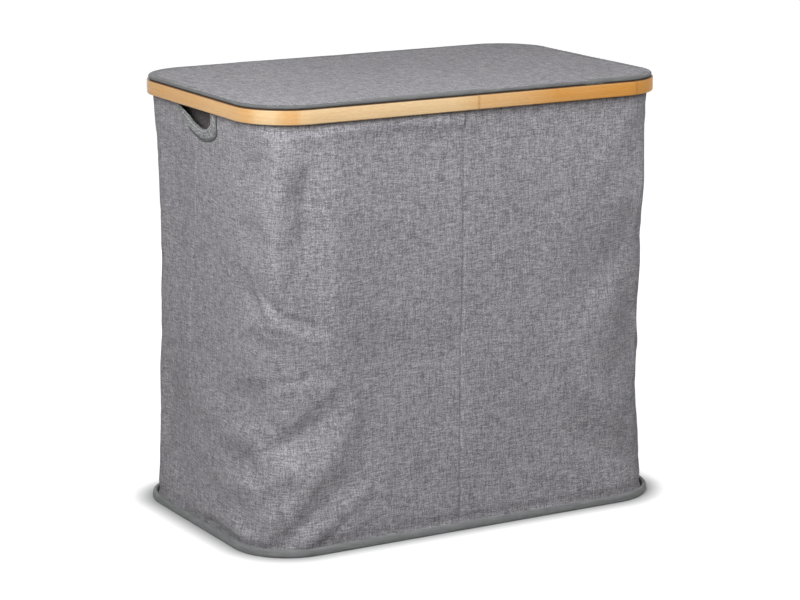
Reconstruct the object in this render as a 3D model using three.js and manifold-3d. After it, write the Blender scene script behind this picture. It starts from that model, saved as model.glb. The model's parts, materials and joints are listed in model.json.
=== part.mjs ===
// Laundry hamper with two bins: a cloth body hung from a bent bamboo hoop, with a lid,
// a divider, four support rods and two lift-out bags. Millimetres, +Z up. The origin is
// on the floor under the middle of the base, the front is -Y and the width runs along X.
import * as THREE from "three";
import { mergeVertices } from "three/addons/utils/BufferGeometryUtils.js";
import Module from "manifold-3d";

const wasm = await Module();
wasm.setup();

// Driving sizes of the hoop and the foot.
const rimWidth = 650;
const rimDepth = 410;
const rimCornerRadius = 78;
const rimTop = 608;
const hoopHeight = 20;
const hoopThickness = 8;
const hoopEdgeRound = 1.6;
const footWidth = 662;
const footDepth = 412;
const footCornerRadius = 85;
const pipingWidth = 7;
const pipingHeight = 11;
const pipingRound = 2.4;

// Cloth walls, drawn in at the waist.
const wallThickness = 2;
const waistInset = 15.5;
const waistHeight = 230;
const hemDrop = 2; // the cloth ends this far below the hoop's top
const tapeThickness = 1.2;
const frontSeamX = -16;
const rearSeamX = 4;
const leftSeamTopY = 0;
const leftSeamFootY = 62;
const rightSeamTopY = 4;
const rightSeamFootY = 12;

// Handle cut-outs in the two short sides, straight under the hoop.
const handleCentreY = 4;
const handleHalfWidth = 62;
const handleDrop = 38;
const handleBindingWidth = 9;
const handleBindingThickness = 3.6;

// Staples that hold the cloth to the inner face of the hoop.
const stapleWidth = 10;
const stapleWire = 1;
const stapleBite = 3;
const stapleHoleClearance = 0.2;
const frontStapleShare = 0.445; // of the way from the middle to the end of the straight
const rearStapleSetback = 11; // from each end of the rear straight
const sideStapleSetback = 26; // past the end of a handle

// Base.
const baseCoverThickness = 1.2;
const boardThickness = 3.5;
const boardClearance = 1.6;

// Divider between the two bins.
const dividerThickness = 3;
const dividerTop = 574;
const dividerClearance = 1;
const dividerBindingHeight = 8;
const dividerBindingThickness = 5;

// Support rods in sewn sleeves, one in each corner.
const rodRadius = 2.5;
const rodTop = 578;
const capWall = 1;
const capLength = 14;
const capEndThickness = 2;
const sleeveWall = 0.8;
const sleeveSetback = 26; // from each end of the rod
const sleeveClearance = 0.6;

// Lift-out bags.
const bagThickness = 1.2;
const bagTop = 577;
const bagRodClearance = 1.6;
const bagDividerClearance = 0.8;
const bagInnerCornerRadius = 25;
const bagBottomThickness = 1;
const bagHemHeight = 18;
const bagHemThickness = 1.2;
const strapWidth = 24;
const strapThickness = 2.4;
const strapGripHalfWidth = 33;
const strapTop = 556;
const strapDrop = 88;
const strapStandoff = 1;
const tabWidth = 32;
const tabThickness = 1.6;
const tabBagLeg = 12;
const tabWallLeg = 24;

// Lid and its cloth hinge.
const lidInset = 2;
const lidBindingWall = 0.9;
const lidFlangeWidth = 10;
const lidFlangeThickness = 0.5;
const lidClothThickness = 0.6;
const lidBoardThickness = 1.8;
const hingeClothThickness = 0.5;
const hingeClothSetback = 23; // from each end of the rear straight
const hingeClothHang = 16;
const hingeReach = 3; // from the hoop's rear face to the line the lid turns about
const hingeTuck = 2.2; // the cloth on the hoop's top ends this far short of that line

// Clearances.
const gap = 0.3; // between pieces that touch
const stackGap = 0.2; // between flat layers sewn together
const leastRadius = 1;
const overrun = 5; // cutters reach past what they cut

// Counts.
const cornerSteps = 7;
const rowsBelowWaist = 4;
const rowsAboveWaist = 4;
const roundSteps = 12;
const archSteps = 16;

// Colours and finishes.
const finish = (color, roughness, metalness) =>
  new THREE.MeshStandardMaterial({ color, roughness, metalness });
const materials = {
  bamboo: finish(0xc99a5b, 0.45, 0),
  cloth: finish(0x77767c, 0.95, 0),
  binding: finish(0x626663, 0.9, 0),
  bagCloth: finish(0x2e2d30, 0.95, 0),
  webbing: finish(0x3a3a3d, 0.9, 0),
  board: finish(0x9b8468, 0.85, 0),
  fibreglass: finish(0xe2e0d6, 0.5, 0),
  plastic: finish(0x232325, 0.6, 0),
  steel: finish(0xb0b2b5, 0.35, 1),
};

// Outlines in plan: a rectangle with one corner radius on its left and one on its right.
const aboutCentre = (width, depth, radius) => ({
  left: -width / 2,
  right: width / 2,
  front: -depth / 2,
  rear: depth / 2,
  leftRadius: radius,
  rightRadius: radius,
});

const insetBy = (o, distance) => ({
  left: o.left + distance,
  right: o.right - distance,
  front: o.front + distance,
  rear: o.rear - distance,
  leftRadius: Math.max(o.leftRadius - distance, leastRadius),
  rightRadius: Math.max(o.rightRadius - distance, leastRadius),
});

const blendOutlines = (a, b, share) =>
  Object.fromEntries(Object.keys(a).map((key) => [key, a[key] + (b[key] - a[key]) * share]));

// The points of one corner, from the end of the front or rear straight to that of the side.
function cornerPoints(o, sideX, sideY) {
  const radius = sideX < 0 ? o.leftRadius : o.rightRadius;
  const edgeX = sideX < 0 ? o.left : o.right;
  const edgeY = sideY < 0 ? o.front : o.rear;
  return Array.from({ length: cornerSteps + 1 }, (_, i) => {
    const turn = (i / cornerSteps) * (Math.PI / 2);
    return [
      edgeX - sideX * radius * (1 - Math.sin(turn)),
      edgeY - sideY * radius * (1 - Math.cos(turn)),
    ];
  });
}

// All the way round, counter-clockwise seen from above.
const roundPoints = (o) => [
  ...cornerPoints(o, 1, -1),
  ...cornerPoints(o, 1, 1).reverse(),
  ...cornerPoints(o, -1, 1),
  ...cornerPoints(o, -1, -1).reverse(),
];

const rim = aboutCentre(rimWidth, rimDepth, rimCornerRadius);
const foot = aboutCentre(footWidth, footDepth, footCornerRadius);

// Geometry with its faces turned outwards.
function closedGeometry(points, triangles) {
  const volume = triangles.reduce((sum, [a, b, c]) => {
    const [p, q, r] = [a, b, c].map((i) => new THREE.Vector3(...points[i]));
    return sum + p.dot(q.cross(r));
  }, 0);
  const facing = volume < 0 ? triangles.map(([a, b, c]) => [a, c, b]) : triangles;
  return new THREE.BufferGeometry()
    .setAttribute("position", new THREE.Float32BufferAttribute(points.flat(), 3))
    .setIndex(facing.flat());
}

// A skin over sections that hold equally many points. Closed, it runs round into the first
// section; open, both ends are capped, and each section is one rail out and one rail back.
function loft(sections, closed) {
  const count = sections[0].length;
  const at = (section, k) => (section % sections.length) * count + (k % count);
  const triangles = [];
  const spans = closed ? sections.length : sections.length - 1;
  for (let i = 0; i < spans; i++)
    for (let k = 0; k < count; k++)
      triangles.push(
        [at(i, k), at(i, k + 1), at(i + 1, k + 1)],
        [at(i, k), at(i + 1, k + 1), at(i + 1, k)],
      );
  if (!closed)
    for (let k = 0; k < count / 2 - 1; k++) {
      const near = (j) => at(0, j);
      const far = (j) => at(sections.length - 1, j);
      const [a, b, c, d] = [k, k + 1, count - 2 - k, count - 1 - k];
      triangles.push([near(a), near(d), near(c)], [near(a), near(c), near(b)]);
      triangles.push([far(a), far(b), far(c)], [far(a), far(c), far(d)]);
    }
  return closedGeometry(sections.flat(), triangles);
}

// A ring round an outline: the section's points are [inset, height].
function ring(o, section) {
  const loops = section.map(([inset, z]) =>
    roundPoints(insetBy(o, inset)).map(([x, y]) => [x, y, z]),
  );
  return loft(
    loops[0].map((_, i) => loops.map((loop) => loop[i])),
    true,
  );
}

const plainSection = (insetA, insetB, low, high) => [
  [insetA, low],
  [insetB, low],
  [insetB, high],
  [insetA, high],
];

const easedSection = (insetA, insetB, low, high, round) => [
  [insetA + round, low],
  [insetB - round, low],
  [insetB, low + round],
  [insetB, high - round],
  [insetB - round, high],
  [insetA + round, high],
  [insetA, high - round],
  [insetA, low + round],
];

// A flat layer that fills an outline.
function plate(o, low, high) {
  const shape = new THREE.Shape(roundPoints(o).map(([x, y]) => new THREE.Vector2(x, y)));
  const depth = high - low;
  return new THREE.ExtrudeGeometry(shape, { depth, bevelEnabled: false }).translate(0, 0, low);
}

const block = (x0, x1, y0, y1, z0, z1) =>
  new THREE.BoxGeometry(x1 - x0, y1 - y0, z1 - z0).translate(
    (x0 + x1) / 2,
    (y0 + y1) / 2,
    (z0 + z1) / 2,
  );

function solidOf(geometry) {
  const bare = geometry.clone();
  bare.deleteAttribute("normal");
  bare.deleteAttribute("uv");
  const merged = mergeVertices(bare);
  return new wasm.Manifold(
    new wasm.Mesh({
      numProp: 3,
      vertProperties: merged.attributes.position.array,
      triVerts: new Uint32Array(merged.index.array),
    }),
  );
}

function geometryOf(solid) {
  const mesh = solid.getMesh();
  return new THREE.BufferGeometry()
    .setAttribute("position", new THREE.BufferAttribute(mesh.vertProperties, 3))
    .setIndex(new THREE.BufferAttribute(mesh.triVerts, 1));
}

const cutBy = (geometry, cutters) =>
  geometryOf(cutters.reduce((solid, cutter) => solid.subtract(solidOf(cutter)), solidOf(geometry)));

const hamper = new THREE.Group();
const lid = new THREE.Group();

function add(group, name, geometry, material) {
  const mesh = new THREE.Mesh(geometry, material);
  mesh.name = name;
  group.add(mesh);
  return mesh;
}

// The outer face of the cloth wall at a height.
const hoopBottom = rimTop - hoopHeight;
const wallFoot = baseCoverThickness + gap;
const wallTop = rimTop - hemDrop;
const wallAtHoop = insetBy(rim, hoopThickness + gap);
const wallAtWaist = insetBy(rim, waistInset);
const wallAtFoot = insetBy(foot, pipingWidth + gap);

// The room that the walls leave at every height, which the fittings stand in.
const wallShapes = [wallAtHoop, wallAtWaist, wallAtFoot];
const diagonalShare = 1 - Math.SQRT1_2;
const roomX = Math.min(...wallShapes.map((o) => o.right));
const roomY = Math.min(...wallShapes.map((o) => o.rear));
const roomRadius = Math.max(
  ...wallShapes.flatMap((o) => [
    o.rightRadius - (o.right - roomX) / diagonalShare,
    o.rightRadius - (o.rear - roomY) / diagonalShare,
  ]),
);

function wallOutline(z) {
  if (z >= waistHeight) {
    const climb = Math.min((z - waistHeight) / (hoopBottom - waistHeight), 1);
    return blendOutlines(wallAtHoop, wallAtWaist, Math.cos((climb * Math.PI) / 2));
  }
  const climb = Math.max((z - wallFoot) / (waistHeight - wallFoot), 0);
  return blendOutlines(wallAtFoot, wallAtWaist, Math.sin((climb * Math.PI) / 2));
}

const steps = (from, to, count) =>
  Array.from({ length: count }, (_, i) => from + ((to - from) * i) / count);

const wallRows = [
  ...steps(wallFoot, waistHeight, rowsBelowWaist),
  ...steps(waistHeight, hoopBottom, rowsAboveWaist),
  hoopBottom,
  wallTop,
];

function sideSeamY(sideX, z) {
  const [top, low] =
    sideX < 0 ? [leftSeamTopY, leftSeamFootY] : [rightSeamTopY, rightSeamFootY];
  return low + (top - low) * (z / hoopBottom);
}

// One of the four cloth panels: from the seam in the front or rear, round a corner, to the
// seam in a short side.
function wallPanel(sideX, sideY) {
  const seamX = (sideY < 0 ? frontSeamX : rearSeamX) + (sideX * gap) / 2;
  const columns = (o, z) => [
    [seamX, sideY < 0 ? o.front : o.rear],
    ...cornerPoints(o, sideX, sideY),
    [sideX < 0 ? o.left : o.right, sideSeamY(sideX, z) + (sideY * gap) / 2],
  ];
  const face = (inset) =>
    wallRows.map((z) => columns(insetBy(wallOutline(z), inset), z).map(([x, y]) => [x, y, z]));
  const loop = [...face(0), ...face(wallThickness).reverse()];
  return loft(
    loop[0].map((_, i) => loop.map((row) => row[i])),
    false,
  );
}

// The half ellipse of a handle cut-out, in Y and Z, hung from the hoop's underside.
function handleArch(halfWidth, drop) {
  const top = hoopBottom - gap;
  return Array.from({ length: archSteps + 1 }, (_, i) => {
    const turn = (i / archSteps) * Math.PI;
    return [handleCentreY + halfWidth * Math.cos(turn), top - drop * Math.sin(turn)];
  });
}

function handleCutter() {
  const arch = handleArch(handleHalfWidth + gap, handleDrop + gap);
  const shape = new THREE.Shape(arch.map(([y, z]) => new THREE.Vector2(y, z)));
  const depth = rimWidth + 2 * overrun;
  return new THREE.ExtrudeGeometry(shape, { depth, bevelEnabled: false })
    .rotateZ(Math.PI / 2)
    .rotateY(Math.PI / 2)
    .translate(-depth / 2, 0, 0);
}

// The binding round a cut-out, which straddles the panel's edge and follows its lean.
function handleBinding(sideX) {
  const outer = handleArch(handleHalfWidth, handleDrop);
  const inner = handleArch(handleHalfWidth - handleBindingWidth, handleDrop - handleBindingWidth);
  const point = ([y, z], side) => {
    const middle = wallOutline(z).right - wallThickness / 2;
    return [sideX * (middle + (side * handleBindingThickness) / 2), y, z];
  };
  return loft(
    outer.map((p, i) => [point(p, 1), point(p, -1), point(inner[i], -1), point(inner[i], 1)]),
    false,
  );
}

// Staples: where each one sits, and the way its legs point.
const tapeInset = hoopThickness + gap + wallThickness + gap;
const crownInset = tapeInset + tapeThickness + gap;
const stapleHeight = (wallTop + hoopBottom + gap) / 2;
const straightEndX = rimWidth / 2 - rimCornerRadius;
const frontStapleX = straightEndX * frontStapleShare;
const rearStapleX = straightEndX - rearStapleSetback;
const sideStapleY = handleCentreY + handleHalfWidth + sideStapleSetback;
const staplePlaces = [
  [-frontStapleX, -rimDepth / 2, 0],
  [frontStapleX, -rimDepth / 2, 0],
  [rimWidth / 2, -sideStapleY, Math.PI / 2],
  [rimWidth / 2, sideStapleY, Math.PI / 2],
  [rearStapleX, rimDepth / 2, Math.PI],
  [-rearStapleX, rimDepth / 2, Math.PI],
  [-rimWidth / 2, sideStapleY, -Math.PI / 2],
  [-rimWidth / 2, -sideStapleY, -Math.PI / 2],
];

// The staple's U in its own frame: the legs point along -Y, and y = 0 is the hoop's outer face.
function stapleGeometry(extra) {
  const half = stapleWidth / 2 + extra;
  const wire = stapleWire + 2 * extra;
  const back = crownInset + stapleWire + extra;
  const crown = crownInset - extra;
  const tip = hoopThickness - stapleBite - extra;
  const shape = new THREE.Shape([
    new THREE.Vector2(-half, back),
    new THREE.Vector2(-half, tip),
    new THREE.Vector2(-half + wire, tip),
    new THREE.Vector2(-half + wire, crown),
    new THREE.Vector2(half - wire, crown),
    new THREE.Vector2(half - wire, tip),
    new THREE.Vector2(half, tip),
    new THREE.Vector2(half, back),
  ]);
  return new THREE.ExtrudeGeometry(shape, { depth: wire, bevelEnabled: false }).translate(
    0,
    0,
    -wire / 2,
  );
}

const stapleCutters = staplePlaces.map(([x, y, turn]) =>
  stapleGeometry(stapleHoleClearance).rotateZ(turn).translate(x, y, stapleHeight),
);

function buildHoop() {
  const section = easedSection(0, hoopThickness, hoopBottom, rimTop, hoopEdgeRound);
  add(hamper, "bamboo_hoop", cutBy(ring(rim, section), stapleCutters), materials.bamboo);
  const tapeLow = hoopBottom + gap;
  const tape = plainSection(tapeInset, tapeInset + tapeThickness, tapeLow, wallTop);
  add(hamper, "top_hem_tape", cutBy(ring(rim, tape), stapleCutters), materials.binding);
  staplePlaces.forEach(([x, y, turn], i) => {
    const staple = add(hamper, `staple_${i + 1}`, stapleGeometry(0), materials.steel);
    staple.position.set(x, y, stapleHeight);
    staple.rotation.z = turn;
  });
}

function buildWalls() {
  const cutters = [handleCutter(), ...stapleCutters];
  for (const [sideY, place] of [
    [-1, "front"],
    [1, "rear"],
  ])
    for (const [sideX, side] of [
      [-1, "left"],
      [1, "right"],
    ])
      add(hamper, `wall_${place}_${side}`, cutBy(wallPanel(sideX, sideY), cutters), materials.cloth);
  add(hamper, "handle_binding_left", handleBinding(-1), materials.binding);
  add(hamper, "handle_binding_right", handleBinding(1), materials.binding);
}

// Base: the bound flange, the cloth under it all, and one stiff board in each bin.
const boardLow = baseCoverThickness + gap;
const boardTop = boardLow + boardThickness;

function buildBase() {
  const flange = easedSection(0, pipingWidth, 0, pipingHeight, pipingRound);
  add(hamper, "bottom_piping", ring(foot, flange), materials.binding);
  const cover = plate(insetBy(foot, pipingWidth + gap), 0, baseCoverThickness);
  add(hamper, "base_cover", cover, materials.cloth);
  const inside = insetBy(wallOutline(boardTop), wallThickness + boardClearance);
  const middle = dividerThickness / 2 + dividerClearance;
  const left = { ...inside, right: -middle, rightRadius: leastRadius };
  const right = { ...inside, left: middle, leftRadius: leastRadius };
  add(hamper, "base_board_left", plate(left, boardLow, boardTop), materials.board);
  add(hamper, "base_board_right", plate(right, boardLow, boardTop), materials.board);
}

function buildDivider() {
  const reach = roomY - wallThickness - dividerClearance;
  const sheet = dividerThickness / 2;
  const panel = block(-sheet, sheet, -reach, reach, boardLow, dividerTop);
  add(hamper, "divider_panel", panel, materials.bagCloth);
  const edge = dividerBindingThickness / 2;
  const low = dividerTop + gap;
  const binding = block(-edge, edge, -reach, reach, low, low + dividerBindingHeight);
  add(hamper, "divider_binding", binding, materials.binding);
}

// Rods stand in the corners of the room, against the cloth.
const capOuterRadius = rodRadius + gap + capWall;
const sleeveOuterRadius = capOuterRadius + gap + sleeveWall;
const rodInset = wallThickness + sleeveClearance + sleeveOuterRadius;
const rodReach = Math.max(roomRadius - rodInset, leastRadius) * Math.SQRT1_2;
const rodX = roomX - roomRadius + rodReach;
const rodY = roomY - roomRadius + rodReach;
const rodFoot = boardTop + gap + capEndThickness + gap;

const turned = (profile) =>
  new THREE.LatheGeometry(
    profile.map(([r, z]) => new THREE.Vector2(r, z)),
    roundSteps,
  ).rotateX(Math.PI / 2);

// A cap in its own frame: the closed end is at z = 0 and its mouth looks up.
const capGeometry = () =>
  turned([
    [0, 0],
    [capOuterRadius, 0],
    [capOuterRadius, capLength],
    [rodRadius + gap, capLength],
    [rodRadius + gap, capEndThickness],
    [0, capEndThickness],
  ]);

const sleeveGeometry = (low, high) =>
  turned([
    [capOuterRadius + gap, low],
    [sleeveOuterRadius, low],
    [sleeveOuterRadius, high],
    [capOuterRadius + gap, high],
    [capOuterRadius + gap, low],
  ]);

function buildRod(name, sideX, sideY) {
  const corner = new THREE.Group();
  corner.position.set(sideX * rodX, sideY * rodY, 0);
  const length = rodTop - rodFoot;
  const rod = new THREE.CylinderGeometry(rodRadius, rodRadius, length, roundSteps);
  rod.rotateX(Math.PI / 2);
  add(corner, `rod_${name}`, rod, materials.fibreglass).position.z = rodFoot + length / 2;
  const low = add(corner, `rod_cap_low_${name}`, capGeometry(), materials.plastic);
  low.position.z = boardTop + gap;
  const high = add(corner, `rod_cap_top_${name}`, capGeometry(), materials.plastic);
  high.position.z = rodTop + gap + capEndThickness;
  high.rotation.x = Math.PI;
  const sleeve = sleeveGeometry(rodFoot + sleeveSetback, rodTop - sleeveSetback);
  add(corner, `rod_sleeve_${name}`, sleeve, materials.cloth);
  hamper.add(corner);
}

// Bags: the outer face clears the rod sleeves and the divider.
const bagInset = rodInset + sleeveOuterRadius + bagRodClearance;
const widestDivider = Math.max(dividerThickness, dividerBindingThickness);
const bagDividerGap = widestDivider / 2 + bagDividerClearance + bagHemThickness + gap;
const bagHalfDepth = roomY - bagInset;
const bagLow = boardTop + gap;
const bagOuterRadius = Math.max(roomRadius - bagInset, leastRadius);

function bagOutline(sideX) {
  const far = roomX - bagInset;
  const o = { front: -bagHalfDepth, rear: bagHalfDepth };
  const [outer, inner] = [bagOuterRadius, bagInnerCornerRadius];
  return sideX < 0
    ? { ...o, left: -far, right: -bagDividerGap, leftRadius: outer, rightRadius: inner }
    : { ...o, left: bagDividerGap, right: far, leftRadius: inner, rightRadius: outer };
}

// A carry strap in X and Z: two legs joined by a half round, hung down inside the bag.
function strapGeometry() {
  const half = strapGripHalfWidth + strapWidth;
  const bend = strapTop - strapDrop + half;
  const shape = new THREE.Shape();
  shape.moveTo(-half, strapTop);
  shape.lineTo(-half, bend);
  shape.absarc(0, bend, half, Math.PI, 2 * Math.PI, false);
  shape.lineTo(half, strapTop);
  shape.lineTo(strapGripHalfWidth, strapTop);
  shape.lineTo(strapGripHalfWidth, bend);
  shape.absarc(0, bend, strapGripHalfWidth, 0, -Math.PI, true);
  shape.lineTo(-strapGripHalfWidth, strapTop);
  const options = { depth: strapThickness, bevelEnabled: false, curveSegments: roundSteps };
  return new THREE.ExtrudeGeometry(shape, options).rotateX(Math.PI / 2);
}

// A tab in Y and Z, for the front: out of the bag's hem, over, and down the inside of the wall.
function tabGeometry() {
  const bagSide = -bagHalfDepth - gap - bagHemThickness - gap;
  const top = bagTop + gap + tabThickness;
  const wallFace = insetBy(wallOutline(top - tabWallLeg), wallThickness).front;
  const wallSide = wallFace + gap + gap;
  const shape = new THREE.Shape([
    new THREE.Vector2(bagSide, top),
    new THREE.Vector2(wallSide, top),
    new THREE.Vector2(wallSide, top - tabWallLeg),
    new THREE.Vector2(wallSide + tabThickness, top - tabWallLeg),
    new THREE.Vector2(wallSide + tabThickness, top - tabThickness),
    new THREE.Vector2(bagSide - tabThickness, top - tabThickness),
    new THREE.Vector2(bagSide - tabThickness, top - tabBagLeg),
    new THREE.Vector2(bagSide, top - tabBagLeg),
  ]);
  return new THREE.ExtrudeGeometry(shape, { depth: tabWidth, bevelEnabled: false })
    .rotateZ(Math.PI / 2)
    .rotateY(Math.PI / 2)
    .translate(-tabWidth / 2, 0, 0);
}

function buildBag(side, sideX) {
  const bag = new THREE.Group();
  const o = bagOutline(sideX);
  const middle = (o.left + o.right) / 2;
  const sides = plainSection(0, bagThickness, bagLow, bagTop);
  add(bag, `bag_${side}_body`, ring(o, sides), materials.bagCloth);
  const bottom = plate(insetBy(o, bagThickness + gap), bagLow, bagLow + bagBottomThickness);
  add(bag, `bag_${side}_bottom`, bottom, materials.bagCloth);
  const hemLow = bagTop - bagHemHeight;
  const hem = plainSection(-gap - bagHemThickness, -gap, hemLow, bagTop);
  add(bag, `bag_${side}_hem`, ring(o, hem), materials.bagCloth);
  const strapFace = bagHalfDepth - bagThickness - strapStandoff;
  for (const [sideY, place] of [
    [-1, "front"],
    [1, "rear"],
  ]) {
    const strap = add(bag, `bag_${side}_strap_${place}`, strapGeometry(), materials.webbing);
    strap.position.set(middle, sideY < 0 ? strapThickness - strapFace : strapFace, 0);
    const tab = add(bag, `bag_${side}_tab_${place}`, tabGeometry(), materials.webbing);
    tab.position.x = middle;
    tab.rotation.z = sideY < 0 ? 0 : Math.PI;
  }
  hamper.add(bag);
}

// Lid: a board between two cloths, with a folded binding sewn all round.
const lidLow = rimTop + stackGap + hingeClothThickness + stackGap;
const lidStack = 2 * lidClothThickness + lidBoardThickness + 4 * stackGap;
const lidTop = lidLow + 2 * lidFlangeThickness + lidStack;

function buildLid() {
  const outer = insetBy(rim, lidInset);
  const layer = insetBy(outer, lidBindingWall + gap);
  const lowCloth = lidLow + lidFlangeThickness + stackGap;
  const board = lowCloth + lidClothThickness + stackGap;
  const highCloth = board + lidBoardThickness + stackGap;
  const underside = plate(layer, lowCloth, lowCloth + lidClothThickness);
  add(lid, "lid_underside_cloth", underside, materials.cloth);
  add(lid, "lid_board", plate(layer, board, board + lidBoardThickness), materials.board);
  const face = plate(layer, highCloth, highCloth + lidClothThickness);
  add(lid, "lid_top_cloth", face, materials.cloth);
  const fold = [
    [0, lidLow],
    [lidFlangeWidth, lidLow],
    [lidFlangeWidth, lidLow + lidFlangeThickness],
    [lidBindingWall, lidLow + lidFlangeThickness],
    [lidBindingWall, lidTop - lidFlangeThickness],
    [lidFlangeWidth, lidTop - lidFlangeThickness],
    [lidFlangeWidth, lidTop],
    [0, lidTop],
  ];
  add(lid, "lid_binding", ring(outer, fold), materials.binding);
}

// The hinge cloth is sewn inside the hem at the rear and lies over the hoop's top.
function buildHingeCloth() {
  const inner = rimDepth / 2 - crownInset;
  const low = rimTop + stackGap;
  const high = low + hingeClothThickness;
  const edge = rimDepth / 2 + hingeReach - hingeTuck;
  const shape = new THREE.Shape([
    new THREE.Vector2(inner, low - hingeClothHang),
    new THREE.Vector2(inner, low),
    new THREE.Vector2(edge, low),
    new THREE.Vector2(edge, high),
    new THREE.Vector2(inner - hingeClothThickness, high),
    new THREE.Vector2(inner - hingeClothThickness, low - hingeClothHang),
  ]);
  const depth = 2 * (straightEndX - hingeClothSetback);
  const cloth = new THREE.ExtrudeGeometry(shape, { depth, bevelEnabled: false })
    .rotateZ(Math.PI / 2)
    .rotateY(Math.PI / 2)
    .translate(-depth / 2, 0, 0);
  add(hamper, "lid_hinge_cloth", cloth, materials.cloth);
}

buildHoop();
buildWalls();
buildBase();
buildDivider();
buildRod("front_left", -1, -1);
buildRod("front_right", 1, -1);
buildRod("rear_left", -1, 1);
buildRod("rear_right", 1, 1);
buildBag("left", -1);
buildBag("right", 1);
buildHingeCloth();
buildLid();

const laundryHamper = new THREE.Group();
laundryHamper.add(hamper, lid);
export default laundryHamper;
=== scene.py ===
"""Looks of a laundry hamper with two bins: bent bamboo hoop, grey melange cloth and a hinged lid.

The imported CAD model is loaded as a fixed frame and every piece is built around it, in metres.
"""

import json
import math

import bmesh
import bpy
import numpy as np
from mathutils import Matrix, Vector


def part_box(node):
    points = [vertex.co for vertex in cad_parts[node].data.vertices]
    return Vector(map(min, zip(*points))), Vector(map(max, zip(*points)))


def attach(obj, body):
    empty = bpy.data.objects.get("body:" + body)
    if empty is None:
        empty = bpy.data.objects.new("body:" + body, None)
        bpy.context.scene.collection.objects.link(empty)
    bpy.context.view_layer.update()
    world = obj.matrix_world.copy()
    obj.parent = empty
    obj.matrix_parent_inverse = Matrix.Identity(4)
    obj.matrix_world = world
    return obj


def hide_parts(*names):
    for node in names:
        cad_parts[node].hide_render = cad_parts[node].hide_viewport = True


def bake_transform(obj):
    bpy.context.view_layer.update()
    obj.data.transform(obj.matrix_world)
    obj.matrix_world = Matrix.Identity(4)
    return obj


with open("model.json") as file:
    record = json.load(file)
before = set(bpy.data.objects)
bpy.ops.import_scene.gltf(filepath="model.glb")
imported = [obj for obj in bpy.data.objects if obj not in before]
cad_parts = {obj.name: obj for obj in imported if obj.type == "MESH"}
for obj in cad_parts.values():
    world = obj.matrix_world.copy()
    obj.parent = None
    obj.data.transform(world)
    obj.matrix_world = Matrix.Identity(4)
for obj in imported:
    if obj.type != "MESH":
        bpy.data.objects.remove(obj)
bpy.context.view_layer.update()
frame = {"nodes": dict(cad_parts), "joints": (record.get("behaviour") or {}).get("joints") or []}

bl_info = {
    "name": "Laundry hamper with two bins",
    "version": (1, 0, 0),
    "blender": (4, 5, 0),
    "location": "View3D > Sidebar > Hamper",
    "description": "Builds the cloth, the bamboo hoop and the lid of a laundry hamper on its frame",
    "category": "Object",
}

MM = 0.001
CLOTH_MAP = "cloth"


def box_of(node):
    """Lowest and highest corner of a CAD node."""
    low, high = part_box(node)
    return np.array(low), np.array(high)


HOOP_LOW, HOOP_HIGH = box_of("bamboo_hoop")
FOOT_HIGH = box_of("bottom_piping")[1]
LID_LOW, LID_HIGH = box_of("lid_binding")
WALL_LOW, WALL_TOP = 1.5 * MM, box_of("wall_front_left")[1][2]
HOOP_BOTTOM, HOOP_TOP = HOOP_LOW[2], HOOP_HIGH[2]
CORNERS = ("front_left", "front_right", "rear_left", "rear_right")


# Sizes and colours that a user would change


def length(name, text, value):
    """A length setting in metres."""
    return bpy.props.FloatProperty(
        name=name, description=text, default=value, unit="LENGTH", precision=5, min=0.0
    )


def colour(name, text, value):
    """A colour setting in scene-linear values."""
    return bpy.props.FloatVectorProperty(
        name=name, description=text, default=value, subtype="COLOR", size=3, min=0.0, max=1.0
    )


def power(name, text, value):
    """A lamp's power in watts."""
    return bpy.props.FloatProperty(name=name, description=text, default=value, unit="POWER")


class HamperSizes(bpy.types.PropertyGroup):
    """Sizes of the dressed hamper."""

    rim_radius: length("Rim corner", "Corner radius of the hoop's outer face", 0.078)
    foot_radius: length("Foot corner", "Corner radius of the base's outline", 0.085)
    hoop_wall: length("Hoop wall", "Thickness of the bamboo strip", 0.008)
    hoop_round: length("Hoop edge", "Rounding of the strip's long edges", 0.0016)
    waist_inset: length("Waist inset", "How far the cloth is drawn in at the waist", 0.0155)
    waist_height: length("Waist height", "Height of the narrowest place", 0.230)
    hoop_gap: length("Gap at hoop", "From the hoop's outer face to the cloth's", 0.0083)
    foot_gap: length("Gap at foot", "From the base's outline to the cloth's foot", 0.0073)
    wall_cloth: length("Wall cloth", "Thickness of the wall cloth", 0.0012)
    wall_cell: length("Wall cell", "Size of a face of the wall cloth", 0.0038)
    tape_cloth: length("Tape", "Thickness of the binding tape", 0.0006)
    tape_width: length("Tape width", "Width of the tape on the lid's face", 0.0130)
    stitch_pitch: length("Stitch pitch", "From one stitch to the next", 0.0046)
    stitch_length: length("Stitch length", "Length of a stitch", 0.0034)
    thread: length("Thread", "Thickness of the sewing thread", 0.0006)


class HamperColours(bpy.types.PropertyGroup):
    """Colours of the hamper's cloths, tape and bamboo."""

    cloth_dark: colour("Cloth dark", "Dark yarns of the melange", (0.115, 0.112, 0.125))
    cloth_mid: colour("Cloth middle", "Most yarns of the melange", (0.255, 0.247, 0.265))
    cloth_light: colour("Cloth light", "Light yarns of the melange", (0.46, 0.45, 0.475))
    tape: colour("Tape", "Binding tape", (0.150, 0.155, 0.156))
    straw: colour("Straw bamboo", "Pale lengths of the strip", (0.595, 0.425, 0.235))
    amber: colour("Amber bamboo", "Warm lengths of the strip", (0.48, 0.216, 0.037))
    bag: colour("Bag cloth", "Cloth of the two bags", (0.080, 0.068, 0.072))
    webbing: colour("Webbing", "Carry straps and tabs", (0.035, 0.035, 0.038))
    board: colour("Board", "Hardboard in the base and the lid", (0.26, 0.17, 0.09))


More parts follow.
